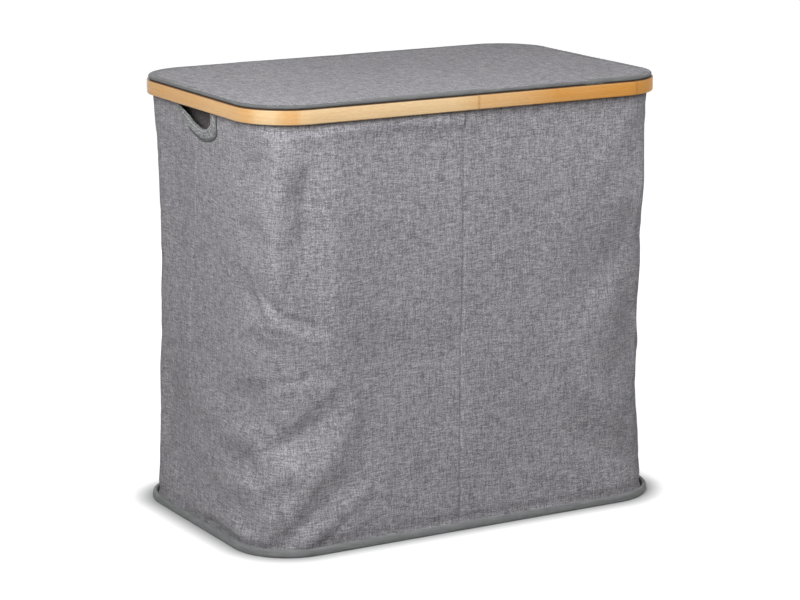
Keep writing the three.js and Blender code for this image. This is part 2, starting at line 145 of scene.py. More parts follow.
class HamperLight(bpy.types.PropertyGroup):
    """Plain studio light."""

    key_watts: power("Left lamp", "Power of the soft lamp on the left", 37.6)
    side_watts: power("Right lamp", "Power of the soft lamp on the right", 23.8)
    rear_watts: power("Rear lamp", "Power of the low soft lamp behind", 11.0)
    room: bpy.props.FloatProperty(
        name="Room light", description="Strength of the light from all round", default=0.10
    )


# Plans: a rounded rectangle seen from above, walked from the middle of the front


class Plan:
    """A rounded rectangle. Lengths along it are negative to the left, positive to the right."""

    def __init__(self, half_x, half_y, radius):
        self.half_x, self.half_y, self.radius = half_x, half_y, radius
        self.core_x, self.core_y = half_x - radius, half_y - radius
        arc = radius * math.pi / 2
        self.front_end = self.core_x
        self.side_start = self.front_end + arc
        self.side_end = self.side_start + 2 * self.core_y
        self.rear_start = self.side_end + arc
        self.half_round = self.rear_start + self.core_x

    def frame(self, s):
        """Core point and outward direction at lengths s along the outline."""
        s = (s + self.half_round) % (2 * self.half_round) - self.half_round
        far = np.abs(s)
        side = np.where(s < 0, -1.0, 1.0)
        turns = (self.front_end, self.side_start, self.side_end, self.rear_start, self.half_round)
        core_x = np.interp(far, (0, *turns), (0, *(self.core_x,) * 4, 0))
        core_y = np.interp(
            far, (0, *turns), (*(-self.core_y,) * 3, self.core_y, self.core_y, self.core_y)
        )
        angle = np.interp(far, (0, *turns), (0, 0, 0.5, 0.5, 1, 1)) * math.pi
        return side * core_x, core_y, side * np.sin(angle), -np.cos(angle)

    def at(self, s, z, out=0.0):
        """Points of the outline at height z, pushed out."""
        core_x, core_y, out_x, out_y = self.frame(s)
        reach = self.radius + out
        x, y = core_x + reach * out_x, core_y + reach * out_y
        return rows_of(x, y, z)

    def length_at(self, x, y):
        """Length along the outline of the place nearest to x, y, and how far inside it lies."""
        core_x = np.clip(x, -self.core_x, self.core_x)
        core_y = np.clip(y, -self.core_y, self.core_y)
        off_x, off_y = x - core_x, y - core_y
        reach = np.hypot(off_x, off_y)
        flat_x = self.half_x - np.abs(x) < self.half_y - np.abs(y)
        off_x = np.where(reach < 1e-9, np.where(flat_x, np.sign(x), 0), off_x)
        off_y = np.where(reach < 1e-9, np.where(flat_x, 0, np.sign(y)), off_y)
        angle = np.arctan2(np.abs(off_x), -off_y)
        side = np.where(x < 0, -1.0, 1.0)
        front = np.abs(core_x)
        rear = self.half_round - np.abs(core_x)
        corner = np.where(
            angle <= math.pi / 2,
            self.front_end + angle * self.radius,
            self.side_end + (angle - math.pi / 2) * self.radius,
        )
        middle = self.side_start + (core_y + self.core_y)
        s = np.where(angle < 1e-6, front, np.where(angle > math.pi - 1e-6, rear, corner))
        s = np.where(np.abs(angle - math.pi / 2) < 1e-6, middle, s)
        return side * s, self.radius - reach


RIM_RADIUS = HamperSizes.__annotations__["rim_radius"].keywords["default"]
RIM = Plan(HOOP_HIGH[0], HOOP_HIGH[1], RIM_RADIUS)


def sizes():
    return bpy.context.scene.hamper_sizes


def colours():
    return bpy.context.scene.hamper_colours


def smooth(low, high, value):
    """0 below low, 1 above high and a soft step between."""
    t = np.clip((value - low) / (high - low), 0, 1)
    return t * t * (3 - 2 * t)


def soft_noise(s, z, cell_s, cell_z, seed):
    """Smooth noise from -1 to 1 on a lattice that closes after one round of the rim."""
    around, rows = max(4, round(2 * RIM.half_round / cell_s)), 64
    values = np.random.default_rng(seed).uniform(-1, 1, (around, rows))
    a = (np.asarray(s) / (2 * RIM.half_round)) % 1.0 * around
    b = np.asarray(z) / cell_z + 7
    ia, ib = np.floor(a).astype(int), np.floor(b).astype(int)
    ta, tb = (t**3 * (t * (6 * t - 15) + 10) for t in (a - ia, b - ib))

    def at(right, up):
        return values[(ia + right) % around, (ib + up) % rows]

    low = at(0, 0) * (1 - ta) + at(1, 0) * ta
    high = at(0, 1) * (1 - ta) + at(1, 1) * ta
    return low * (1 - tb) + high * tb


def rows_of(*columns):
    """Points or flat places, one to a row, from their coordinates."""
    return np.stack(np.broadcast_arrays(*columns), -1)


def walked(points):
    """Length walked along a row of points, up to each one."""
    return np.concatenate([[0], np.cumsum(np.linalg.norm(np.diff(points, axis=0), axis=1))])


def looked_up(lengths, along, table):
    """Rows of a table, whose rows lie at the places along, read at other lengths."""
    return np.stack([np.interp(lengths, along, column) for column in table.T], -1)


def spaced(points, count):
    """Points evenly spaced along straight runs."""
    along = walked(points)
    return looked_up(np.linspace(0, along[-1], count), along, points)


# Modelling


def only(*objects):
    """Selects these objects and no others, the first one active."""
    bpy.ops.object.select_all(action="DESELECT")
    for o in objects:
        o.select_set(True)
    bpy.context.view_layer.objects.active = objects[0] if objects else None


def editing(piece):
    """Opens one piece in edit mode."""
    only(piece)
    bpy.ops.object.mode_set(mode="EDIT")


def leave_editing():
    bpy.ops.object.mode_set(mode="OBJECT")


def pick(piece, kind, test):
    """In edit mode, selects the vertices, edges or faces that pass the test."""
    bpy.ops.mesh.select_mode(type=kind)
    bpy.ops.mesh.select_all(action="DESELECT")
    mesh = bmesh.from_edit_mesh(piece.data)
    for part in {"VERT": mesh.verts, "EDGE": mesh.edges, "FACE": mesh.faces}[kind]:
        if test(part):
            part.select_set(True)
    mesh.select_flush_mode()
    bmesh.update_edit_mesh(piece.data)


def apply_modifier(piece, kind, **settings):
    """Adds one modifier and applies it."""
    only(piece)
    modifier = piece.modifiers.new(kind.title(), kind)
    for name, value in settings.items():
        setattr(modifier, name, value)
    bpy.ops.object.modifier_apply(modifier=modifier.name)


def weld(piece, closed):
    """Joins points that lie together. A closed shell also has its faces turned outwards."""
    editing(piece)
    bpy.ops.mesh.select_all(action="SELECT")
    bpy.ops.mesh.remove_doubles(threshold=1e-6)
    if closed:
        bpy.ops.mesh.normals_make_consistent(inside=False)
    leave_editing()


def thicken(piece, thickness):
    """Gives a sheet its thickness, away from the side it faces."""
    apply_modifier(
        piece, "SOLIDIFY", thickness=thickness, offset=-1.0, use_rim=True, use_even_offset=False
    )


def points_of(piece):
    flat = np.empty(len(piece.data.vertices) * 3, np.float32)
    piece.data.vertices.foreach_get("co", flat)
    return flat.reshape(-1, 3).astype(float)


def set_points(piece, points):
    piece.data.vertices.foreach_set("co", points.astype(np.float32).ravel())
    piece.data.update()


def fresh_map(mesh):
    """The mesh's only UV map, still empty."""
    while mesh.uv_layers:
        mesh.uv_layers.remove(mesh.uv_layers[0])
    return mesh.uv_layers.new(name=CLOTH_MAP)


def set_map(piece, flat):
    """Writes the piece's UV map: flat holds one place in metres for each vertex."""
    mesh = piece.data
    layer = fresh_map(mesh)
    corners = np.empty(len(mesh.loops), np.int32)
    mesh.loops.foreach_get("vertex_index", corners)
    layer.data.foreach_set("uv", flat[corners].astype(np.float32).ravel())


def cloth_grid(name, across, up, place):
    """A sheet of across by up faces. place(i, j) gives its points and their flat places."""
    only()
    bpy.ops.mesh.primitive_grid_add(x_subdivisions=across, y_subdivisions=up, size=2)
    piece = bpy.context.object
    piece.name = piece.data.name = name
    grid = points_of(piece)
    i = np.rint((grid[:, 0] + 1) / 2 * across).astype(int)
    j = np.rint((grid[:, 1] + 1) / 2 * up).astype(int)
    points, flat = place(i, j)
    set_points(piece, points)
    set_map(piece, flat)
    return piece


def coat(mesh, look):
    """Gives a mesh the named finish."""
    mesh.materials.clear()
    mesh.materials.append(finish_of(look))


def finish(piece, look, body, slot, *nodes, angle=50):
    """Shades the piece, gives it its finish, ties it to its body and hides the CAD nodes it stands in
    for.
    """
    only(piece)
    bpy.ops.object.shade_smooth_by_angle(angle=math.radians(angle))
    coat(piece.data, look)
    if body:
        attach(piece, body)
    if nodes:
        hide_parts(*nodes)
    return piece


def make_up(piece, out, thickness, look, body, slot, *nodes, angle=50):
    """Joins a sheet's ends, turns it outwards, gives it its thickness and finishes it."""
    weld(piece, False)
    turn_outwards(piece, out)
    thicken(piece, thickness)
    return finish(piece, look, body, slot, *nodes, angle=angle)


def dress(look, *nodes):
    """Gives CAD nodes that stay their finish."""
    for node in nodes:
        coat(frame["nodes"][node].data, look)


def away_from(x, y):
    """A test for faces that point away from an upright axis."""
    return lambda normal, centre: normal.x * (centre.x - x) + normal.y * (centre.y - y) > 0


def turn_outwards(piece, faces_out):
    """Flips the whole sheet if most of its faces point the wrong way."""
    good = bad = 0
    for face in piece.data.polygons:
        if abs(face.normal.x) + abs(face.normal.y) + abs(face.normal.z) < 0.5:
            continue
        if faces_out(face.normal, face.center):
            good += 1
        else:
            bad += 1
    if bad > good:
        editing(piece)
        bpy.ops.mesh.select_all(action="SELECT")
        bpy.ops.mesh.flip_normals()
        leave_editing()


def columns_between(total, cell):
    """Places from 0 to total, close together at both ends and one cell apart between."""
    near = np.array([0.0, 0.5, 1.1, 1.9, 3.0, 4.6, 6.8]) * MM
    inner = np.linspace(near[-1], total - near[-1], max(2, round((total - 2 * near[-1]) / cell)) + 1)
    return np.concatenate([near[:-1], inner, total - near[-2::-1]])


def sew(name, points, outward, look, body, slot, pitch=None, span=None, thick=None):
    """A row of stitches along points, each one a small thread that lies on the cloth."""
    k = sizes()
    pitch, span, thick = pitch or k.stitch_pitch, span or k.stitch_length, thick or k.thread
    pressed = 0.8
    only()
    bpy.ops.mesh.primitive_uv_sphere_add(segments=6, ring_count=4, radius=0.5)
    piece = bpy.context.object
    piece.name = piece.data.name = name
    one = points_of(piece)
    faces = [tuple(f.vertices) for f in piece.data.polygons]
    along = walked(points)
    middles = np.arange(pitch / 2, along[-1] - pitch / 4, pitch)
    here = looked_up(middles, along, points)
    ahead = looked_up(middles + span / 2, along, points)
    ahead = ahead - looked_up(middles - span / 2, along, points)
    ahead /= np.linalg.norm(ahead, axis=1, keepdims=True)
    up = looked_up(middles, along, np.broadcast_to(outward, points.shape))
    up -= (up * ahead).sum(1, keepdims=True) * ahead
    up /= np.linalg.norm(up, axis=1, keepdims=True)
    over = np.cross(up, ahead)
    places = (
        here[:, None]
        + ahead[:, None] * one[None, :, 2:3] * span
        + over[:, None] * one[None, :, 0:1] * thick
        + up[:, None] * one[None, :, 1:2] * thick * pressed
    )
    starts = len(one) * np.arange(len(middles))
    mesh = bpy.data.meshes.new(name)
    mesh.from_pydata(
        places.reshape(-1, 3).tolist(),
        [],
        [tuple(int(v + start) for v in f) for start in starts for f in faces],
    )
    piece.data = mesh
    weld(piece, True)
    return finish(piece, look, body, slot, angle=80)


# Finishes


def toned(shade, factor):
    """A colour made darker or lighter."""
    return tuple(min(1.0, factor * c) for c in shade)


class Nodes:
    """A node tree under construction: each call adds a node and returns its output."""

    def __init__(self, tree):
        self.tree = tree

    def wire(self, value, socket):
        """Sets a socket to a number, a colour or another node's output."""
        if isinstance(value, bpy.types.NodeSocket):
            self.tree.links.new(value, socket)
        else:
            socket.default_value = value

    def node(self, kind, *values, **settings):
        """A node with these settings and with its first sockets set."""
        made = self.tree.nodes.new(kind)
        for name, value in settings.items():
            setattr(made, name, value)
        for value, socket in zip(values, made.inputs):
            self.wire(value, socket)
        return made

    def set(self, made, **sockets):
        """Sets sockets by name, with _ for a space. A value of None leaves one as it is."""
        for name, value in sockets.items():
            if value is not None:
                self.wire(value, made.inputs[name.replace("_", " ")])
        return made

    def math(self, operation, a, b=0.0):
        return self.node("ShaderNodeMath", a, b, 0.0, operation=operation).outputs[0]

    def add(self, first, *others):
        for other in others:
            first = self.math("ADD", first, other)
        return first

    def times(self, a, b):
        return self.math("MULTIPLY", a, b)

    def vector(self, operation, a, *b):
        return self.node("ShaderNodeVectorMath", a, *b, operation=operation).outputs[0]

    def cloth_place(self):
        """The piece's own UV map, in metres."""
        return self.node("ShaderNodeUVMap", uv_map=CLOTH_MAP).outputs["UV"]

    def object_place(self):
        return self.node("ShaderNodeTexCoord").outputs["Object"]

    def split(self, vector):
        return self.node("ShaderNodeSeparateXYZ", vector).outputs

    def join(self, x, y=0.0, z=0.0):
        return self.node("ShaderNodeCombineXYZ", x, y, z).outputs[0]

    def grey(self, value):
        return self.join(value, value, value)

    def scaled(self, vector, scale, shift=(0.0, 0.0, 0.0)):
        made = self.node("ShaderNodeMapping", vector)
        return self.set(made, Location=shift, Scale=scale).outputs[0]

    def noise(self, vector, scale=1.0, detail=2.0, rough=0.5, shift=(0.0, 0.0, 0.0)):
        """Soft noise, stretched where its scale is three numbers."""
        if isinstance(scale, tuple):
            vector, scale = self.scaled(vector, scale, shift), 1.0
        made = self.node("ShaderNodeTexNoise", vector)
        return self.set(made, Scale=scale, Detail=detail, Roughness=rough).outputs["Fac"]

    def wave(self, length, pitch):
        """A sine along a length."""
        return self.math("SINE", self.times(length, 2 * math.pi / pitch))

    def fit(self, value, low, high, to_low=0.0, to_high=1.0, **settings):
        made = self.node("ShaderNodeMapRange", value, low, high, to_low, to_high, **settings)
        return made.outputs[0]

    def ramp(self, value, *stops):
        """A colour ramp: stops are (position, colour)."""
        made = self.node("ShaderNodeValToRGB", value)
        elements = made.color_ramp.elements
        while len(elements) < len(stops):
            elements.new(0.5)
        for element, (position, shade) in zip(elements, stops):
            element.position = position
            element.color = (*shade, 1.0)
        return made.outputs["Color"]

    def mix(self, share, a, b, blend="MIX"):
        """Two colours mixed."""
        made = self.node("ShaderNodeMix", share, data_type="RGBA", blend_type=blend)
        for value, socket in ((a, made.inputs[6]), (b, made.inputs[7])):
            self.wire((*value, 1.0) if isinstance(value, tuple) else value, socket)
        return made.outputs[2]

    def bump(self, height, distance, strength=1.0, under=None):
        made = self.node("ShaderNodeBump")
        self.set(made, Height=height, Distance=distance, Strength=strength, Normal=under)
        return made.outputs[0]

    def seen_direct(self):
        """1 for rays from the camera and off or through the object, which see a white surround."""
        path = self.node("ShaderNodeLightPath").outputs
        seen = self.math("MAXIMUM", path["Is Camera Ray"], path["Is Glossy Ray"])
        return self.math("MAXIMUM", seen, path["Is Transmission Ray"])


class Finish(Nodes):
    """A material under construction."""

    def __init__(self, name, roughness, **sockets):
        self.material = bpy.data.materials.new(name)
        self.material.use_nodes = True
        super().__init__(self.material.node_tree)
        self.shader = self.tree.nodes["Principled BSDF"]
        self.set(self.shader, Roughness=roughness, **sockets)

    def done(self, base, normal=None, roughness=None):
        self.set(self.shader, Base_Color=base, Normal=normal, Roughness=roughness)
        return self.material


def melange_cloth(name, dark, mid, light):
    """Linen-look cloth: yarns both ways, each with its own tone that changes along it."""
    yarn, tone_run, long_slub, thin_slub = 0.00105, 0.013, 0.030, 0.0016
    wander_by, cloud, relief = 0.0010, 0.025, 0.0004
    f = Finish(name, 0.95, Sheen_Weight=0.05, Sheen_Roughness=0.5, Specular_IOR_Level=0.06)
    place = f.cloth_place()
    wander = f.times(f.noise(place, (55.0, 55.0, 1.0), detail=1.0), wander_by)
    u, v = (f.add(part, wander) for part in f.split(place)[:2])
    across, up = f.math("DIVIDE", u, yarn), f.math("DIVIDE", v, yarn)
    column, row = f.math("FLOOR", across), f.math("FLOOR", up)

    def centred(noise):
        return f.fit(noise, 0.2, 0.8, -0.5, 0.5)

    def tones(along, number, seed):
        """Tone of each yarn, which drifts along it."""
        at = f.join(f.math("DIVIDE", along, tone_run), f.times(number, 5.731), seed)
        return centred(f.noise(at, detail=0.0))

    def slubs(run_u, run_v, seed):
        """Thick and thin stretches that several yarns share."""
        return centred(f.noise(f.join(f.math("DIVIDE", u, run_u), f.math("DIVIDE", v, run_v), seed)))

    weft, warp = tones(u, row, 3.1), tones(v, column, 47.7)
    crossing = f.node("ShaderNodeTexWhiteNoise", f.join(column, row), noise_dimensions="2D")
    fleck = f.math("SUBTRACT", crossing.outputs["Value"], 0.5)
    thick = f.add(
        f.times(slubs(long_slub, thin_slub, 2.0), 0.07), f.times(slubs(thin_slub, long_slub, 9.0), 0.05)
    )
    tone = f.add(f.times(weft, 0.50), f.times(warp, 0.42), 0.5, f.times(fleck, 0.60), thick)
    base = f.ramp(tone, (0.0, dark), (0.5, mid), (1.0, light))
    clouds = f.noise(place, (7.0, 5.0, 1.0), detail=3.0)
    shade = f.grey(f.fit(clouds, 0.3, 0.7, 1.0 - cloud, 1.0 + cloud))
    base = f.mix(1.0, base, shade, "MULTIPLY")
    under = f.math("PINGPONG", f.add(column, row), 1.0)
    weft_round = f.math("SINE", f.times(f.math("FRACT", up), math.pi))
    warp_round = f.math("SINE", f.times(f.math("FRACT", across), math.pi))
    height = f.add(
        f.times(weft_round, under),
        f.times(warp_round, f.math("SUBTRACT", 1.0, under)),
        f.times(tone, 0.8),
    )
    normal = f.bump(f.noise(place, (60.0, 60.0, 1.0), detail=3.0), 0.0012, 0.3)
    return f.done(base, f.bump(height, relief, 0.7, normal))


def binding_tape(name, shade):
    """Plain woven tape: fine cross ribs and a little unevenness."""
    f = Finish(name, 0.78, Sheen_Weight=0.1, Specular_IOR_Level=0.35)
    place = f.cloth_place()
    u, v = f.split(place)[:2]
    threads = f.times(f.wave(u, 0.0009), f.wave(v, 0.0007))
    drift = f.noise(place, (45.0, 220.0, 1.0), detail=3.0)
    flecks = f.noise(place, (900.0, 1500.0, 1.0), detail=1.0)
    tone = f.add(f.times(drift, 0.6), f.times(flecks, 0.4))
    base = f.ramp(tone, (0.3, toned(shade, 0.72)), (0.5, shade), (0.72, toned(shade, 1.35)))
    return f.done(base, f.bump(f.add(threads, f.times(drift, 2.0)), 0.00012, 0.9))


# Tones of the strip from straw to amber, by length in metres from the middle of the front. The pale
# stops at -0.324 and -0.302 paint a highlight on the front-left corner, and the pale stretch along the
# front is partly the strip's own tone and partly a painted reflection.

BAMBOO_TONES_AND_HIGHLIGHT = (
    (-0.99, 0.7), (-0.86, 0.9), (-0.72, 0.75), (-0.60, 0.62), (-0.48, 0.55), (-0.40, 0.40),
    (-0.372, 0.50), (-0.338, 0.60), (-0.324, 0.15), (-0.302, 0.10), (-0.290, 0.50), (-0.272, 0.58),
    (-0.262, 0.08), (-0.040, 0.10), (-0.012, 0.28), (0.004, 0.46), (0.050, 0.52), (0.090, 0.66),
    (0.130, 0.92), (0.280, 1.0), (0.400, 0.75), (0.560, 0.55), (0.640, 0.9), (0.82, 0.45),
    (0.99, 0.7),
)  # fmt: skip
BAMBOO_KNUCKLES = (0.004, 0.262, -0.72, 0.60, 0.88)


def bamboo(name, straw, amber):
    """Lacquered bamboo: long fibres, a tone of its own between two knuckles, a line at each. The tones
    also carry a painted highlight and a painted reflection, and the top edge a painted shadow.
    """
    f = Finish(name, 0.36, Coat_Weight=0.08, Coat_Roughness=0.3, Specular_IOR_Level=0.32)
    place = f.cloth_place()
    u, v = f.split(place)[:2]
    drift = f.noise(place, (5.0, 60.0, 1.0))
    fibres = f.noise(place, (16.0, 1300.0, 1.0), detail=3.0, rough=0.6)
    streaks = f.noise(place, (14.0, 420.0, 1.0), shift=(3.0, 0.0, 0.0))
    flecks = f.noise(place, (120.0, 1100.0, 1.0))
    half = RIM.half_round
    # The pale stops at the front-left corner paint a highlight on the lacquer
    tones = [((where + half) / (2 * half), (grey,) * 3) for where, grey in BAMBOO_TONES_AND_HIGHLIGHT]
    warmth_and_highlight = f.split(f.ramp(f.fit(u, -half, half), *tones))[0]
    for part, weight in ((drift, 0.30), (streaks, 0.45)):
        warmth_and_highlight = f.add(warmth_and_highlight, f.times(f.math("SUBTRACT", part, 0.5), weight))
    base = f.ramp(warmth_and_highlight, (0.0, straw), (1.0, amber))
    grain = f.add(f.times(fibres, 0.5), f.times(flecks, 0.5))
    base = f.mix(1.0, base, f.grey(f.fit(grain, 0.3, 0.7, 0.84, 1.14)), "MULTIPLY")
    # The strip's top edge under the lid's edge turns deep brown: painted shadow of the lid
    painted_lid_shadow = f.fit(v, HOOP_TOP - 1.1 * MM, HOOP_TOP - 0.3 * MM)
    base = f.mix(f.times(painted_lid_shadow, 0.94), base, (0.045, 0.018, 0.004))
    lines = None
    bend = f.times(f.math("SUBTRACT", streaks, 0.5), 0.006)
    for knuckle in BAMBOO_KNUCKLES:
        off = f.math("ABSOLUTE", f.math("SUBTRACT", f.add(u, bend), knuckle))
        line = f.fit(off, 0.0003, 0.0030, 1.0, 0.0)
        lines = line if lines is None else f.math("MAXIMUM", lines, line)
    broken = f.times(lines, f.fit(flecks, 0.35, 0.6, 0.1, 0.6))
    base = f.mix(broken, base, toned(amber, 0.42))
    normal = f.bump(lines, 0.0003, 0.4, f.bump(fibres, 0.00012, 0.5))
    return f.done(base, normal, f.fit(streaks, 0.3, 0.7, 0.40, 0.54))


def frayed_tape(name, shade):
    """The tape round a hand hole, worn so that loose pale and dark threads show."""
    f = Finish(name, 0.8, Sheen_Weight=0.1)
    place = f.cloth_place()
    bend = f.times(f.noise(place, (150.0, 150.0, 1.0)), 3.0)
    threads = f.noise(f.vector("ADD", f.scaled(place, (260.0, 700.0, 1.0)), f.grey(bend)))
    low, mid, high = (toned(shade, factor) for factor in (0.45, 0.98, 2.7))
    base = f.ramp(threads, (0.34, low), (0.46, mid), (0.56, mid), (0.68, high))
    return f.done(base, f.bump(threads, 0.0008, 0.9))


def bag_cloth(name, shade):
    """Dark coarse plain weave, with small paler dots where yarns cross."""
    pitch = 0.0014
    f = Finish(name, 0.85, Sheen_Weight=0.15)
    place = f.cloth_place()
    u, v = f.split(place)[:2]
    dots = f.times(f.wave(u, pitch), f.wave(v, pitch))
    wear = f.noise(place, (300.0, 300.0, 1.0), detail=3.0)
    tone = f.add(f.fit(dots, -1.0, 1.0, 0.0, 0.45), f.times(wear, 0.9))
    base = f.ramp(tone, (0.42, toned(shade, 0.30)), (0.68, shade), (0.95, toned(shade, 2.8)))
    normal = f.bump(f.noise(place, (45.0, 45.0, 1.0), detail=3.0), 0.0015, 0.6)
    return f.done(base, f.bump(dots, 0.0002, 0.8, normal))


def woven_webbing(name, shade):
    """Dark webbing: a herringbone of thick yarns."""
    fold, pitch = 0.004, 0.0016
    f = Finish(name, 0.7, Sheen_Weight=0.15)
    place = f.cloth_place()
    u, v = f.split(place)[:2]
    ribs = f.wave(f.add(u, f.math("PINGPONG", v, fold)), pitch)
    wear = f.noise(place, (300.0, 300.0, 1.0))
    tone = f.add(f.fit(ribs, -1.0, 1.0, 0.0, 0.6), f.times(wear, 0.4))
    base = f.ramp(tone, (0.1, toned(shade, 0.5)), (0.9, toned(shade, 1.9)))
    return f.done(base, f.bump(ribs, 0.0003, 0.8))


def sewing_thread(name, shade):
    """Twisted polyester thread."""
    f = Finish(name, 0.55)
    twist = f.noise(f.object_place(), (1400.0, 1400.0, 1400.0), detail=1.0)
    base = f.ramp(twist, (0.35, toned(shade, 0.75)), (0.65, toned(shade, 1.25)))
    return f.done(base, f.bump(twist, 0.0001, 0.6))


def hardboard(name, shade):
    """Pressed fibre board."""
    f = Finish(name, 0.8)
    place = f.object_place()
    fibres = f.noise(place, (700.0, 500.0, 700.0), detail=4.0, rough=0.7)
    blots = f.noise(place, (30.0, 30.0, 30.0), detail=3.0)
    tone = f.add(f.times(fibres, 0.7), f.times(blots, 0.3))
    base = f.ramp(tone, (0.35, toned(shade, 0.6)), (0.65, toned(shade, 1.4)))
    return f.done(base, f.bump(fibres, 0.0002, 0.6))


def fibreglass(name, dark, light):
    """Off-white rod with glass strands along it."""
    f = Finish(name, 0.42)
    strands = f.noise(f.object_place(), (2600.0, 2600.0, 12.0))
    return f.done(f.ramp(strands, (0.35, dark), (0.65, light)), f.bump(strands, 0.00008, 0.6))


def moulded_plastic(name, dark, light):
    """Black moulded cap with a fine grain."""
    f = Finish(name, 0.5)
    place = f.object_place()
    grain = f.noise(place, 2200.0)
    rub = f.noise(place, 90.0, detail=3.0)
    base = f.ramp(rub, (0.35, dark), (0.7, light))
    return f.done(base, f.bump(grain, 0.00008, 0.6), f.fit(rub, 0.3, 0.7, 0.4, 0.6))


def staple_wire(name, dark, light):
    """Bare drawn steel wire, dulled in places."""
    f = Finish(name, 0.35, Metallic=1.0)
    place = f.object_place()
    drawn = f.noise(place, (900.0, 3000.0, 3000.0))
    dull = f.noise(place, 160.0, detail=3.0)
    base = f.ramp(dull, (0.35, dark), (0.65, light))
    return f.done(base, f.bump(drawn, 0.00005, 0.5), f.fit(dull, 0.35, 0.65, 0.5, 0.28))


FINISHES = {}


def finish_of(look):
    """The named material, made the first time it is asked for."""
    if look not in FINISHES:
        c = colours()
        make, label, *shades = {
            "cloth": (melange_cloth, "melange cloth", c.cloth_dark, c.cloth_mid, c.cloth_light),
            "tape": (binding_tape, "binding tape", c.tape),
            # The lid's tape is the binding tape made darker: painted shade on the lid's edge
            "lid_tape": (binding_tape, "lid binding tape", toned(c.tape, 0.76)),
            "hole_tape": (frayed_tape, "frayed tape", c.tape),
            "bamboo": (bamboo, "lacquered bamboo", c.straw, c.amber),
            "bag": (bag_cloth, "bag cloth", c.bag),
            "webbing": (woven_webbing, "webbing", c.webbing),
            "thread": (sewing_thread, "grey thread", toned(c.tape, 1.25)),
            "pale_thread": (sewing_thread, "pale thread", (0.42, 0.42, 0.42)),
            "dark_thread": (sewing_thread, "dark thread", (0.05, 0.05, 0.055)),
            "board": (hardboard, "hardboard", c.board),
            "rod": (fibreglass, "fibreglass rod", (0.50, 0.48, 0.41), (0.78, 0.76, 0.68)),
            "cap": (moulded_plastic, "moulded cap", (0.010, 0.010, 0.011), (0.030, 0.030, 0.032)),
            "steel": (staple_wire, "staple wire", (0.38, 0.37, 0.37), (0.62, 0.62, 0.64)),
        }[look]
        FINISHES[look] = make(label, *(tuple(shade) for shade in shades))
    return FINISHES[look]


# The cloth walls: where their outer face lies


def wall_outline(z):
    """Half width, half depth and corner radius of the cloth's outer face at height z."""
    k = sizes()
    rim = np.array([RIM.half_x, RIM.half_y, RIM.radius])
    hoop, waist = rim - k.hoop_gap, rim - k.waist_inset
    foot = np.array([FOOT_HIGH[0], FOOT_HIGH[1], k.foot_radius]) - k.foot_gap
    climb = np.clip((z - k.waist_height) / (HOOP_BOTTOM - k.waist_height), 0, 1)
    rise = np.clip(z / k.waist_height, 0, 1)
    above = (z >= k.waist_height)[..., None]
    to_waist = np.where(
        above, np.cos(climb * math.pi / 2)[..., None], np.sin(rise * math.pi / 2)[..., None]
    )
    end = np.where(above, hoop, foot)
    return np.moveaxis(end + (waist - end) * to_waist, -1, 0)


# Folds of the cloth, in millimetres on the flat wall: length along the rim from the middle
# of the front, and height. Each has its line, its height (negative for a valley), its reach
# to the left and to the right of the line as it is walked, and its sharpness.

